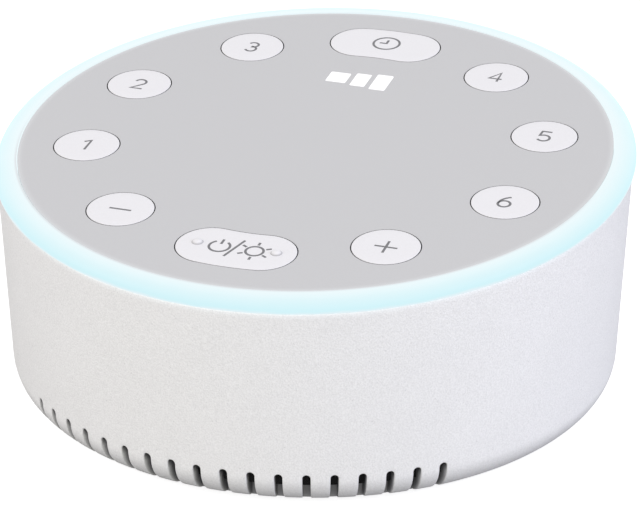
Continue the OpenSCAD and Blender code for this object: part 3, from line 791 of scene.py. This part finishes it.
def shell_shape(p):
    """The housing: the skin, the rim, the collar for the ring and the inner face, carried round the
    axis as one closed section, with the slots and the inlet cut through and their walls added."""
    case = p.case
    half = case.slot_width / 2
    soft = case.edge_round
    bevel = [(soft * (1 - math.sin(a)), soft * (1 - math.cos(a))) for a in np.radians([0, 30, 60, 90])]
    layers = [outer_sheet(p, half + widen, depth) for widen, depth in bevel]
    skin, arch_row, angles, kinds = layers[0]
    inner, inner_angles = inner_sheet(p, half)

    top_angle, inner_top = angles[-1], inner_angles[-1]
    rim = height_at_depth(p.ring_seat, top_angle, p.base_r, p)
    start = skin[-1, :, 2]
    climb = np.array([0.2, 0.4, 0.6, 0.8, 0.93, 1.0])[:, None]
    heights = start + (rim - case.rim_round - start) * climb
    wall = with_depth(polar(p.base_r + p.lean * heights, top_angle), heights)
    edge = np.radians([22.5, 45, 67.5, 90])[:, None]
    edge_r = p.base_r + p.lean * (rim - case.rim_round) - case.rim_round * (1 - np.cos(edge))
    rounded = with_depth(polar(edge_r, top_angle), rim + case.rim_round * (np.sin(edge) - 1))

    def collar(w):
        """A ring of the collar's bore, whose axis is square to the face."""
        flat = with_depth(polar(p.collar_r, top_angle), w)
        return (on_face(flat, p) - [0, 0, p.lift])[None]

    ledge_h = height_at_depth(p.collar_bottom, inner_top, p.inner_base, p)
    ledge = with_depth(polar(p.inner_base + p.lean * ledge_h, inner_top), ledge_h)[None]
    collars = [collar(p.ring_seat), collar(p.collar_bottom), ledge]
    loop = np.concatenate([skin, wall, rounded, *collars, inner[:0:-1]])

    rows, columns = loop.shape[:2]
    keep = np.ones((rows, columns), bool)
    in_slot = np.where(kinds == "slot")[0]
    in_patch = np.where(kinds == "inlet")[0]
    patch_rows = np.arange(len(skin) - 1 - p.patch_cells, len(skin) - 1)
    mirror = rows - 1 - patch_rows
    keep[np.ix_(np.arange(arch_row), in_slot)] = False
    keep[np.ix_(rows - 1 - np.arange(arch_row), in_slot)] = False
    keep[np.ix_(patch_rows, in_patch)] = False
    keep[np.ix_(mirror, in_patch)] = False

    shape = Shape()
    lift = np.array([0, 0, p.lift])
    shape.grid(loop + lift, wrap_rows=True, wrap_columns=True, keep=keep)
    stack = np.stack([sheet for sheet, *_ in layers] + [inner])
    edge_columns = in_slot.reshape(case.slot_count, -1)
    for cells in edge_columns:
        left, right = cells[0], cells[-1] + 1
        mouth = np.concatenate([
            stack[:, :arch_row, left],
            stack[:, arch_row, left : right + 1],
            stack[:, arch_row - 1 :: -1, right],
        ], 1)
        shape.grid(mouth + lift)

    widths = [(case.inlet_radius + widen, depth) for widen, depth in bevel]
    outside = ring_of_cells(p, back_wall(p, 0))
    inside = ring_of_cells(p, back_wall(p, None))
    shares = (0, 0.25, 0.5, 0.75, 1)
    rings = [outside(widths[0][0], share) for share in shares]
    rings += [ring_of_cells(p, back_wall(p, depth))(radius, 1) for radius, depth in widths[1:]]
    rings += [inside(case.inlet_radius, share) for share in shares[::-1]]
    shape.grid(np.stack(rings) + lift, wrap_columns=True)
    return shape


def bar(angle, near, far, half_width):
    """The corners of a bar that runs outwards. Its two radii and half width are in millimetres."""
    along, aside = polar(1.0, angle), polar(1.0, angle + math.pi / 2)
    corners = [(near, -half_width), (far, -half_width), (far, half_width), (near, half_width)]
    return np.array([(a * along + b * aside) * MM for a, b in corners])


def add_posts(shape, p):
    """The posts for the base screws with their ribs, and the lugs for the face screws with their
    arms. Sections and bars are in millimetres."""
    lift = np.array([0, 0, p.lift])
    post_circle, lug_circle = 44 * MM, 45.6 * MM
    rib_ends, arm_ends = (10.6, 13.9), (-13.95, -11.85)
    post = [(1.3, 4.4), (2.4, 4.4), (2.4, 10.5), (3.4, 10.5), (3.4, 14), (1.3, 14)]
    lug = [(1.6, -14), (3.5, -14), (3.5, -11.8), (1.6, -11.8)]
    for angle in np.radians(SCREW_ANGLES):
        add_tube(shape, polar(post_circle, angle), post, lambda q: q + lift)
        rib = bar(angle, 47.2, 54, 0.8)
        shape.loft(np.stack([with_depth(rib, h * MM) for h in rib_ends]) + lift)
    for angle in np.radians(LUG_ANGLES):
        add_tube(shape, polar(lug_circle, angle), lug, lambda q: on_face(q, p))
        arm = bar(angle, 48.4, 55, 3.5)
        shape.loft(on_face(np.stack([with_depth(arm, w * MM) for w in arm_ends]), p))


def shell_finish(p, colours):
    """White moulded plastic with a few dark specks. Shade is painted into its colour inside the slots,
    at the slots' feet and round tops and round the bottom corner, and the ring's light is painted on at
    the rim."""
    finish = moulded("shell_plastic", colours.shell, grain=0.3, depth=0.03, spread=0.09)
    specks = finish.span(finish.noise(0.35 * MM, 1), 0.7, 0.78)
    finish.shade(specks * 0.2, linear(colours.slot))
    h, depth = finish.skin_place(p)
    # Painted shade inside the slots: darker the deeper below the skin, up to the slots' height.
    slot_rows = finish.span(h, 8 * MM, 9 * MM, 1, 0)
    inside = 1 - finish.span(depth, 0.1 * MM, 2.4 * MM, 1, 0) ** 1.7
    finish.shade(slot_rows * inside, linear(colours.slot))
    # Painted shade round the bottom corner.
    finish.shade(finish.span(h, 2.6 * MM, 5.6 * MM, 0.24, 0), linear(colours.slot))
    # Painted shade at the slots' feet.
    foot = finish.span(depth, 0.2 * MM, 1.6 * MM) * finish.span(h, 1.2 * MM, 3.6 * MM, 0.7, 0)
    finish.shade(foot, linear(colours.slot))
    # Painted shade under the slots' round tops.
    top = finish.span(depth, 0.08 * MM, 0.5 * MM) * finish.span(h, 4.8 * MM, 6.4 * MM)
    finish.shade(slot_rows * top, linear(colours.slot_top))
    # Painted light from the ring on the rim, as emission.
    _, _, w = finish.face_place(p)
    near = finish.span(w, p.ring_seat - 1.4 * MM, p.ring_seat)
    return add_glow(finish, near, colours.glow_outside, 0.12)


class MACHINE_OT_shell(bpy.types.Operator):
    """Makes the housing: a leaning wall with a round corner, a comb of slots and the inlet"""

    bl_idname = "machine.shell"
    bl_label = "Housing"

    def execute(self, context):
        p = plan()
        p.patch = 7.5 * MM
        p.patch_cells = 12
        shape = shell_shape(p)
        add_posts(shape, p)
        finish = shell_finish(p, context.scene.machine_colours)
        dress(shape.object("housing_shell"), finish, "case", ["housing"])
        return {"FINISHED"}


class MACHINE_OT_ring(bpy.types.Operator):
    """Makes the light ring: its section carried round the face's axis"""

    bl_idname = "machine.ring"
    bl_label = "Light ring"

    def execute(self, context):
        p = plan()
        edge_r, lip_round, hair = 2 * MM, 0.12 * MM, 0.003 * MM
        seat_r, seat_end = p.collar_r - 0.3 * MM, p.ring_seat - 1.2 * MM
        skirt_out, skirt_in, skirt_end = 52.5 * MM, 49.9 * MM, -8.6 * MM
        round_x = p.ring_r - edge_r
        drop = edge_r - p.top.ring_edge
        lip = np.radians([90, 60, 30, 0])
        turn = np.radians(np.linspace(90, 0, 13))
        section = np.concatenate([
            np.stack([p.lip_r + lip_round * (1 - np.sin(lip)), lip_round * (np.cos(lip) - 1)], -1),
            np.linspace([p.lip_r + lip_round, 0], [round_x, drop], 6)[1:-1],
            np.stack([round_x + edge_r * np.cos(turn), drop - edge_r + edge_r * np.sin(turn)], -1),
            np.array([
                [p.ring_r, p.ring_seat],
                [seat_r, p.ring_seat],
                [seat_r, seat_end],
                [skirt_out, seat_end],
                [skirt_out, skirt_end],
                [skirt_in, skirt_end],
                [skirt_in, p.plate_under],
                [p.lip_r, p.plate_under],
            ]),
        ])
        shape = Shape()
        shape.grid(on_face(turned(section - hair, 288), p), wrap_rows=True, wrap_columns=True)
        finish = glowing("lit_ring", context.scene.machine_colours, p)
        dress(shape.object("light_ring_lit"), finish, "case", ["light_ring"])
        return {"FINISHED"}


# ---------- operators: the keys ----------


def key_outline(offset, half_angle, circle):
    """Points at one distance, offset, from a stretch of the key circle: the outer arc, a half
    circle round its end, the inner arc back and a half circle round the other end."""
    points = 24
    share = np.arange(points) / points
    sweep = half_angle * (2 * share - 1)
    half_turn = math.pi * share
    ends = []
    for side in (1, -1):
        out, along = polar(1.0, side * half_angle), polar(1.0, side * half_angle + math.pi / 2)
        swing = side * (np.cos(half_turn)[:, None] * out + np.sin(half_turn)[:, None] * along)
        ends.append(circle * out + offset * swing)
    outer = polar(circle + offset, sweep)
    inner = polar(circle - offset, -sweep)
    return np.concatenate([outer, ends[0], inner, ends[1]])


def spin(points, angle):
    """Flat or raised points turned about the face's middle, by an angle that grows to the right."""
    x, y = points[..., 0], points[..., 1]
    s, c = math.sin(angle), math.cos(angle)
    flat = np.stack([x * c - y * s, x * s + y * c], -1)
    return np.concatenate([flat, points[..., 2:]], -1)


def key_shape(p, name):
    """A key: a flat top with a round edge, a side, the flange that keeps it in, and a square stem.
    Its skin is one stack of outlines, and the stem's square has the outlines' directions."""
    top = p.top
    half_angle = top.wide_half if name in WIDE_KEYS else 0
    flange_r = top.key_radius + 0.88 * MM
    flange_under = p.flange_top - 1 * MM
    stem_end = -5.95 * MM
    stem_half = 2.5 * MM
    peg_side, peg_r, peg_ends = math.radians(8), 1.5 * MM, (-3.2 * MM, -5.8 * MM)
    turn = np.radians(np.linspace(0, 90, 6))
    flat_r = top.key_radius - top.key_edge
    stack = [(share * flat_r, p.key_top) for share in (0.0, 0.25, 0.5, 0.75)]
    stack += [
        (flat_r + top.key_edge * math.sin(t), p.key_top - top.key_edge * (1 - math.cos(t)))
        for t in turn
    ]
    stack += [(top.key_radius, p.flange_top), (flange_r, p.flange_top), (flange_r, flange_under)]
    rings = [with_depth(key_outline(r, half_angle, top.key_circle), w) for r, w in stack]
    middle = np.array([0, -top.key_circle])
    way = rings[-1][:, :2] - middle
    square = middle + way * (stem_half / np.abs(way).max(1))[:, None]
    rings += [with_depth(square, w) for w in (flange_under, stem_end)]
    rings.append(with_depth(np.broadcast_to(middle, square.shape), stem_end))
    shape = Shape()
    place = math.radians(KEY_ANGLES[name])
    shape.grid(on_face(spin(np.stack(rings), place), p), wrap_columns=True)
    if half_angle:
        for side in (-1, 1):
            centre = polar(top.key_circle, side * peg_side)
            pegs = [circle_ring(centre, peg_r, w, 24) for w in peg_ends]
            shape.loft(on_face(spin(np.stack(pegs), place), p))
    return shape


def add_touch_dots(shape, p):
    """Two low domes on the power key: caps of a ball, rings from the rim to the crown."""
    rim, rise = p.top.dot_radius, p.top.dot_height
    dot_side, crown, points = math.radians(9.95), 0.02, 36
    ball = (rim**2 + rise**2) / (2 * rise)
    sunk = ball - rise
    for side in (-1, 1):
        centre = polar(p.top.key_circle, side * dot_side)
        rings = [
            circle_ring(centre, ball * math.sin(a), p.key_top + ball * math.cos(a) - sunk, points)
            for a in np.linspace(math.asin(rim / ball), crown, 10)
        ]
        foot = circle_ring(centre, rim, p.key_top - 0.05 * MM, points)
        shape.loft(on_face(np.stack([foot, *rings]), p))


class MACHINE_OT_keys(bpy.types.Operator):
    """Makes the ten key caps with their flanges and stems"""

    bl_idname = "machine.keys"
    bl_label = "Keys"

    def execute(self, context):
        p = plan()
        colours = context.scene.machine_colours
        finish = moulded(
            "key_plastic", colours.key, rough=0.5, grain=0.35, depth=0.006, spread=0.012,
        )
        _, _, w = finish.face_place(p)
        # Painted shade: the key's side below its top, and a ring at the touch dots' feet, take the gap
        # colour.
        low = finish.span(w, p.key_top - 0.14 * MM, p.key_top - 0.04 * MM, 1, 0)
        foot = finish.span(w, p.key_top + 0.01 * MM, p.key_top + 0.03 * MM)
        crown = finish.span(w, p.key_top + 0.04 * MM, p.key_top + 0.3 * MM)
        finish.shade(low + foot * (1 - crown) * 0.7, linear(colours.gap))
        for name in KEY_ANGLES:
            shape = key_shape(p, name)
            if name == "key_power_light":
                add_touch_dots(shape, p)
            dress(shape.object(name + "_cap"), finish, name, [name])
        return {"FINISHED"}


# ---------- operators: the printed signs ----------


def arc(centre, radius, start, end, count=32):
    """Points of an arc, its angles in degrees from the right and growing anticlockwise."""
    t = np.radians(np.linspace(start, end, count))
    return np.asarray(centre) + radius * np.stack([np.cos(t), np.sin(t)], -1)


def full_circle(centre, radius, count):
    """Points of a full circle, each of them once."""
    return arc(centre, radius, 0, 360, count + 1)[:-1]


def line(*points):
    return np.array(points, float)


def sides(path, width, closed):
    """The left and right edge of a stroke: its points moved half the width along the mean of the
    normals before and after, and a little more at a corner."""
    step = np.roll(path, -1, 0) - path
    if not closed:
        step[-1] = step[-2]
    step = step / np.linalg.norm(step, axis=1)[:, None]
    before = np.roll(step, 1, 0)
    if not closed:
        before[0] = step[0]
    mean = step + before
    mean = mean / np.linalg.norm(mean, axis=1)[:, None]
    normal = np.stack([-mean[:, 1], mean[:, 0]], -1)
    stretch = 1 / np.maximum(np.abs((mean * step).sum(1)), 0.6)
    reach = normal * (width / 2 * stretch)[:, None]
    return path + reach, path - reach


def add_stroke(shape, path, p, closed=False):
    """A thin printed ribbon along a path of the face, with a closed section."""
    left, right = sides(path, p.top.stroke, closed)
    low, high = p.key_top - 0.01 * MM, p.key_top + 0.015 * MM
    section = [(left, high), (right, high), (right, low), (left, low)]
    ribs = np.stack([with_depth(side, w) for side, w in section], 1)
    if closed:
        shape.grid(on_face(ribs, p), wrap_rows=True, wrap_columns=True)
    else:
        shape.loft(on_face(ribs, p))


DIGITS = {
    1: [line((-0.5, 0.62), (0.12, 1.0), (0.12, -1.0))],
    2: [np.concatenate([arc((0, 0.42), 0.58, 165, -35, 20), line((-0.6, -1.0), (0.64, -1.0))])],
    3: [np.concatenate([arc((0, 0.48), 0.52, 155, -90, 20), arc((0, -0.48), 0.56, 88, -155, 20)])],
    4: [line((0.3, -1.0), (0.3, 1.0), (-0.66, -0.4), (0.68, -0.4))],
    5: [
        np.concatenate([
            line((0.55, 1.0), (-0.42, 1.0), (-0.5, 0.08)),
            arc((0, -0.38), 0.62, 122, -148, 24),
        ])
    ],
    6: [arc((0.9, -0.4), 1.5, 111, 180, 20)],
}
BOWLS = {6: full_circle((0, -0.4), 0.6, 36)}


def digit(shape, number, centre, p):
    """A printed number of even strokes, in a box two units high, and its closed bowl."""
    unit = p.top.digit_height / 2
    for path in DIGITS[number]:
        add_stroke(shape, centre + path * unit, p)
    if number in BOWLS:
        add_stroke(shape, centre + BOWLS[number] * unit, p, closed=True)


def clock_sign(shape, p):
    """A clock: a circle with its hands at twelve and nine."""
    middle = np.array([0.09, 41.4]) * MM
    add_stroke(shape, full_circle(middle, 2.49 * MM, 60), p, closed=True)
    add_stroke(shape, middle + line((0, 1.41), (0, 0), (-1.36, 0)) * MM, p)


def power_sign(shape, p):
    """The on and off sign, a stroke and a sun with six rays, between the two touch dots."""
    power = np.array([-3.0, -40.83]) * MM
    add_stroke(shape, arc(power, 1.81 * MM, 124, 416, 44), p)
    add_stroke(shape, power + line((0, 0.78), (0, 2.38)) * MM, p)
    add_stroke(shape, line((0.57, -37.85), (-1.17, -43.8)) * MM, p)
    sun = np.array([3.31, -40.84]) * MM
    add_stroke(shape, full_circle(sun, 1.54 * MM, 48), p, closed=True)
    for ray in np.radians([30, 90, 150, 210, 270, 330]):
        way = np.array([math.cos(ray), math.sin(ray)])
        add_stroke(shape, np.stack([sun + way * 2.02 * MM, sun + way * 2.97 * MM]), p)


class MACHINE_OT_signs(bpy.types.Operator):
    """Prints the signs on the keys: numbers, plus, minus, a clock, the power sign and a sun"""

    bl_idname = "machine.signs"
    bl_label = "Printed signs"

    def execute(self, context):
        p = plan()
        ink = printed("gray_ink", context.scene.machine_colours.ink)
        arm = 2.02 * MM
        nudge = np.array([0, -0.1]) * MM
        for name, degrees in KEY_ANGLES.items():
            centre = polar(p.top.key_circle, math.radians(degrees))
            shape = Shape()
            if name == "key_timer":
                clock_sign(shape, p)
            elif name == "key_power_light":
                power_sign(shape, p)
            elif name.startswith("key_sound_"):
                digit(shape, int(name[-1]), centre, p)
            else:
                add_stroke(shape, centre + nudge + line((-arm, 0), (arm, 0)), p)
            if name == "key_volume_up":
                half = p.top.stroke / 2
                add_stroke(shape, centre + nudge + line((0, half), (0, arm)), p)
                add_stroke(shape, centre + nudge + line((0, -half), (0, -arm)), p)
            dress(shape.object("sign_" + name[4:]), ink, name)
        return {"FINISHED"}


# ---------- operators: the loudspeaker's soft rings ----------


def soft_ring(name, path, thick):
    """A thin ring: a path of (radius, z) points, given a thickness and carried round the axis."""
    left, right = sides(path, thick, False)
    section = np.concatenate([left, right[::-1]])
    shape = Shape()
    shape.grid(turned(section, 96), wrap_rows=True, wrap_columns=True)
    return shape.object(name, sharp_degrees=50)


def stretch(piece, finish, slot, nodes, low, high):
    """Gives a ring its finish, hides the nodes that it stands for and bakes its place into its points.
    The heights low and high are not used.
    """
    piece.data.materials.append(finish.material)
    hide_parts(*nodes)
    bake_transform(piece)


class MACHINE_OT_soft_rings(bpy.types.Operator):
    """Makes the loudspeaker's corrugated spider and its half roll"""

    bl_idname = "machine.soft_rings"
    bl_label = "Spider and surround"

    def execute(self, context):
        cloth = woven("spider_cloth", screen(206, 170, 96), pitch=0.7)
        thick, rise, wave, waves, rim = 0.3 * MM, 0.95 * MM, 0.22 * MM, 4, 1.7 * MM
        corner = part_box("speaker_spider")[1]
        coil_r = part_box("voice_coil")[1].x + 0.02 * MM
        level = corner.z - thick / 2
        share = np.linspace(0, 1, 49)
        web_r = corner.x - rim
        web = np.stack([
            web_r + (coil_r - web_r) * share,
            level + rise * share - wave * np.sin(2 * math.pi * waves * share),
        ], -1)
        path = np.concatenate([[[corner.x, level]], web])
        spider = soft_ring("speaker_spider_web", path, thick)
        stretch(spider, cloth, "spider_cloth", ["speaker_spider"], level + thick, level + rise)

        rubber = soft_skin("roll_rubber", screen(26, 26, 28), rough=0.7, pore=0.2, depth=0.01)
        skin = 0.4 * MM
        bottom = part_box("speaker_surround")[0].z
        lip_r, lip_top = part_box("speaker_surround")[1].x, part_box("speaker_surround")[1].z
        cone_r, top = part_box("speaker_cone")[1].x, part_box("speaker_cone")[0].z
        roll = top - bottom
        middle = (cone_r + roll, top)
        inner = soft_ring("speaker_roll_inner", arc(middle, roll - skin / 2, 180, 270, 16), skin)
        stretch(inner, rubber, "roll_rubber", ["speaker_surround"], bottom + skin, top)
        lip = line((lip_r, (top + lip_top) / 2))
        outer = np.concatenate([arc(middle, roll - skin / 2, 270, 350, 15), lip])
        dress(soft_ring("speaker_roll_outer", outer, skin * 0.75), rubber, "case")
        return {"FINISHED"}


# ---------- operators: finishes of the solids ----------


def paint(finish, *nodes):
    """Gives CAD nodes a finish."""
    for name in nodes:
        for slot in frame["nodes"][name].material_slots:
            slot.material = finish.material


class MACHINE_OT_outer_finishes(bpy.types.Operator):
    """Finishes the solids that are seen: face plate, windows, base cover, feet, screws and inlet"""

    bl_idname = "machine.outer_finishes"
    bl_label = "Outer finishes"

    def execute(self, context):
        colours = context.scene.machine_colours
        p = plan()
        face = moulded(
            "face_plastic", colours.face, rough=0.55, grain=0.4, depth=0.005, spread=0.008, specular=0.3,
        )
        radius, _, w = face.face_place(p)
        edge = p.top.face_radius
        # Painted shade on the walls of the key holes, below the face's top.
        below = face.span(w, p.face_top - 0.1 * MM, p.face_top - 0.02 * MM, 1, 0)
        in_holes = face.span(radius, edge - 1 * MM, edge - 0.5 * MM, 1, 0)
        face.shade(below * in_holes, linear(colours.gap))
        # Painted light from the ring near the face's edge, as emission.
        add_glow(face, face.span(radius, edge - 1.3 * MM, edge), colours.glow_inside, 0.13)
        paint(face, "face_plate")
        paint(lit_lens("lit_window"), "level_lens")
        paint(
            moulded("base_plastic", colours.base, rough=0.6, grain=0.6, depth=0.02, spread=0.03),
            "base_cover",
        )
        paint(
            soft_skin("foot_rubber", screen(70, 70, 72), rough=0.8, pore=0.5, depth=0.04),
            "rubber_feet",
        )
        paint(metal("screw_steel", screen(190, 190, 188), rough=0.3), "base_screws", "face_screws")
        paint(woven("black_cloth", screen(22, 22, 24), pitch=0.5), "slot_cloth")
        paint(
            moulded(
                "jack_plastic", screen(38, 38, 40), rough=0.45, grain=0.4, depth=0.01, spread=0.1
            ),
            "dc_jack",
        )
        paint(
            metal("contact_metal", screen(214, 200, 160), rough=0.28, line=(1, 6, 1)),
            "dc_jack_pin",
        )
        return {"FINISHED"}


class MACHINE_OT_inner_finishes(bpy.types.Operator):
    """Finishes the solids inside: light parts, switches, boards and the loudspeaker"""

    bl_idname = "machine.inner_finishes"
    bl_label = "Inner finishes"

    def execute(self, context):
        plungers = [name.replace("key_", "plunger_") for name in KEY_ANGLES]
        white = screen(240, 240, 238)
        paint(
            moulded("reflector_plastic", white, rough=0.3, grain=0.8, depth=0.004, spread=0.02),
            "ring_reflector", "level_light_box",
        )
        paint(
            moulded(
                "frame_plastic", screen(120, 122, 126), rough=0.6, grain=0.6, depth=0.02, spread=0.05
            ),
            "key_frame",
        )
        paint(
            moulded(
                "switch_plastic", screen(52, 52, 55), rough=0.5, grain=0.4, depth=0.01, spread=0.08
            ),
            "switch_bodies", *plungers,
        )
        green, track = screen(28, 96, 62), screen(66, 140, 88)
        paint(board("board_mask", green, track), "control_board", "main_board")
        chip = moulded(
            "chip_resin", screen(30, 30, 32), rough=0.55, grain=0.25, depth=0.01, spread=0.12,
        )
        paint(chip, "control_chips", "main_chips")
        paint(
            moulded(
                "led_case", screen(238, 232, 205), rough=0.35, grain=0.3, depth=0.005, spread=0.05
            ),
            "ring_leds", "level_leds",
        )
        paint(
            moulded(
                "baffle_plastic", screen(95, 97, 100), rough=0.65, grain=0.7, depth=0.02, spread=0.06
            ),
            "speaker_baffle",
        )
        paint(
            soft_skin("gasket_foam", screen(32, 32, 34), rough=0.95, pore=0.25, depth=0.08),
            "speaker_gasket",
        )
        paint(metal("basket_steel", screen(120, 124, 130), rough=0.45), "speaker_basket")
        paint(
            metal("plate_steel", screen(178, 180, 184), rough=0.35),
            "speaker_top_plate", "speaker_yoke",
        )
        paint(
            soft_skin("magnet_ferrite", screen(66, 66, 70), rough=0.6, pore=0.3, depth=0.02),
            "speaker_magnet",
        )
        paint(wound("coil_copper", screen(196, 120, 72)), "voice_coil")
        paper = soft_skin("cone_paper", screen(50, 50, 52), rough=0.85, pore=0.6, depth=0.05)
        paint(paper, "speaker_cone", "speaker_dust_cap")
        paint(metal("terminal_brass", screen(214, 180, 106), rough=0.3), "speaker_terminals")
        paint(
            metal("small_screw_steel", screen(196, 196, 194), rough=0.3),
            "speaker_screws", "main_board_screws",
        )
        paint(
            soft_skin("lead_jacket", screen(150, 34, 32), rough=0.5, pore=0.6, depth=0.01),
            "speaker_leads",
        )
        paint(
            moulded(
                "cap_sleeve", screen(34, 44, 86), rough=0.35, grain=0.5, depth=0.005, spread=0.06
            ),
            "capacitors",
        )
        paint(
            moulded(
                "socket_plastic", screen(236, 230, 212), rough=0.45, grain=0.4, depth=0.008, spread=0.03
            ),
            "board_connectors",
        )
        paint(
            moulded(
                "cable_plastic", screen(226, 226, 222), rough=0.4, grain=0.5, depth=0.006, spread=0.03
            ),
            "flat_cable",
        )
        return {"FINISHED"}


# ---------- operators: the stage ----------


def plain_nodes(tree, kinds):
    """New nodes of the given kinds in a cleared tree."""
    tree.nodes.clear()
    return [tree.nodes.new(kind) for kind in kinds]


def floor_material(white):
    """A gray matt floor, to which the camera adds an even brightness, so that it shows as white
    and still keeps the object's shadow."""
    material = bpy.data.materials.new("floor_white")
    material.use_nodes = True
    kinds = ("OutputMaterial", "AddShader", "BsdfDiffuse", "Emission", "LightPath", "Math")
    tree = material.node_tree
    output, both, matt, added, path, share = plain_nodes(tree, ["ShaderNode" + k for k in kinds])
    matt.inputs["Color"].default_value = (0.5, 0.5, 0.5, 1)
    share.operation = "MULTIPLY"
    share.inputs[1].default_value = white
    tree.links.new(path.outputs["Is Camera Ray"], share.inputs[0])
    tree.links.new(share.outputs[0], added.inputs["Strength"])
    tree.links.new(matt.outputs[0], both.inputs[0])
    tree.links.new(added.outputs[0], both.inputs[1])
    tree.links.new(both.outputs[0], output.inputs["Surface"])
    return material


LAMPS = {
    "lamp_right": ((1.25, -0.13, 0.51), 6.5, (0.69, 0.72, 1.0)),
    "lamp_front": ((0.63, -1.09, 0.51), 3.2, (1.0, 0.96, 0.86)),
    "lamp_left": ((-1.03, -0.72, 0.51), 4.6, (1.0, 0.93, 0.93)),
}
LAMP_AIM = (0, 0, 0.03)
LAMP_SIZE = 0.8


def add_aimed(name, data, place, aim):
    """A lamp or a camera at a place, turned to look at aim."""
    made = bpy.data.objects.new(name, data)
    made.location = place
    made.rotation_euler = (Vector(aim) - Vector(place)).to_track_quat("-Z", "Y").to_euler()
    bpy.context.scene.collection.objects.link(made)
    return made


def add_lamp(name, place, power, tint):
    """A square soft lamp."""
    data = bpy.data.lights.new(name, "AREA")
    data.size = LAMP_SIZE
    data.energy = power
    data.color = tint
    add_aimed(name, data, place, LAMP_AIM)


class MACHINE_OT_stage(bpy.types.Operator):
    """Makes the floor, the white surroundings, the soft lamps and the camera"""

    bl_idname = "machine.stage"
    bl_label = "Stage"

    def execute(self, context):
        scene = context.scene
        stage = scene.machine_stage
        floor_half = 3
        reach = np.linspace(-floor_half, floor_half, 13)
        x, y = np.meshgrid(reach, reach)
        shape = Shape()
        shape.grid(np.stack([x, y, np.zeros_like(x)], -1))
        floor = shape.object("floor")
        floor.data.materials.append(floor_material(stage.floor_white))
        if floor.data.polygons[0].normal.z < 0:
            floor.data.flip_normals()

        world = bpy.data.worlds.new("surroundings")
        world.use_nodes = True
        scene.world = world
        kinds = ("OutputWorld", "Background", "LightPath", "Math", "Math", "Mix")
        made = plain_nodes(world.node_tree, ["ShaderNode" + k for k in kinds])
        output, background, path, either, any_ray, strength = made
        either.operation = any_ray.operation = "MAXIMUM"
        background.inputs["Color"].default_value = (1, 1, 1, 1)
        strength.inputs[2].default_value = stage.ambient
        strength.inputs[3].default_value = 1
        link = world.node_tree.links.new
        link(path.outputs["Is Camera Ray"], either.inputs[0])
        link(path.outputs["Is Glossy Ray"], either.inputs[1])
        link(either.outputs[0], any_ray.inputs[0])
        link(path.outputs["Is Transmission Ray"], any_ray.inputs[1])
        link(any_ray.outputs[0], strength.inputs[0])
        link(strength.outputs[0], background.inputs["Strength"])
        link(background.outputs[0], output.inputs["Surface"])

        for name, (place, power, tint) in LAMPS.items():
            add_lamp(name, place, power, tint)

        data = bpy.data.cameras.new("camera")
        data.lens = stage.focal_length
        data.sensor_width = 36
        data.clip_start = 0.01
        scene.camera = add_aimed("camera", data, stage.camera_place, stage.camera_aim)
        scene.view_settings.view_transform = "Standard"
        return {"FINISHED"}


# ---------- the add-on ----------


OPERATORS = (
    MACHINE_OT_shell,
    MACHINE_OT_ring,
    MACHINE_OT_keys,
    MACHINE_OT_signs,
    MACHINE_OT_soft_rings,
    MACHINE_OT_outer_finishes,
    MACHINE_OT_inner_finishes,
    MACHINE_OT_stage,
)


class MACHINE_PT_panel(bpy.types.Panel):
    """Lists the machine's operators and settings"""

    bl_label = "Sound Machine"
    bl_idname = "MACHINE_PT_panel"
    bl_space_type = "VIEW_3D"
    bl_region_type = "UI"
    bl_category = "Sound Machine"

    def draw(self, context):
        for operator in OPERATORS:
            self.layout.operator(operator.bl_idname)
        for group in SETTINGS:
            settings = getattr(context.scene, group)
            box = self.layout.box()
            for name in settings.__annotations__:
                box.prop(settings, name)


def register():
    for name, group in SETTINGS.items():
        bpy.utils.register_class(group)
        setattr(bpy.types.Scene, name, bpy.props.PointerProperty(type=group))
    for operator in OPERATORS:
        bpy.utils.register_class(operator)
    bpy.utils.register_class(MACHINE_PT_panel)


def unregister():
    bpy.utils.unregister_class(MACHINE_PT_panel)
    for operator in reversed(OPERATORS):
        bpy.utils.unregister_class(operator)
    for name, group in SETTINGS.items():
        delattr(bpy.types.Scene, name)
        bpy.utils.unregister_class(group)


def main():
    register()
    bpy.ops.machine.shell()
    bpy.ops.machine.ring()
    bpy.ops.machine.keys()
    bpy.ops.machine.signs()
    bpy.ops.machine.soft_rings()
    bpy.ops.machine.outer_finishes()
    bpy.ops.machine.inner_finishes()
    bpy.ops.machine.stage()


if __name__ == "__main__":
    main()
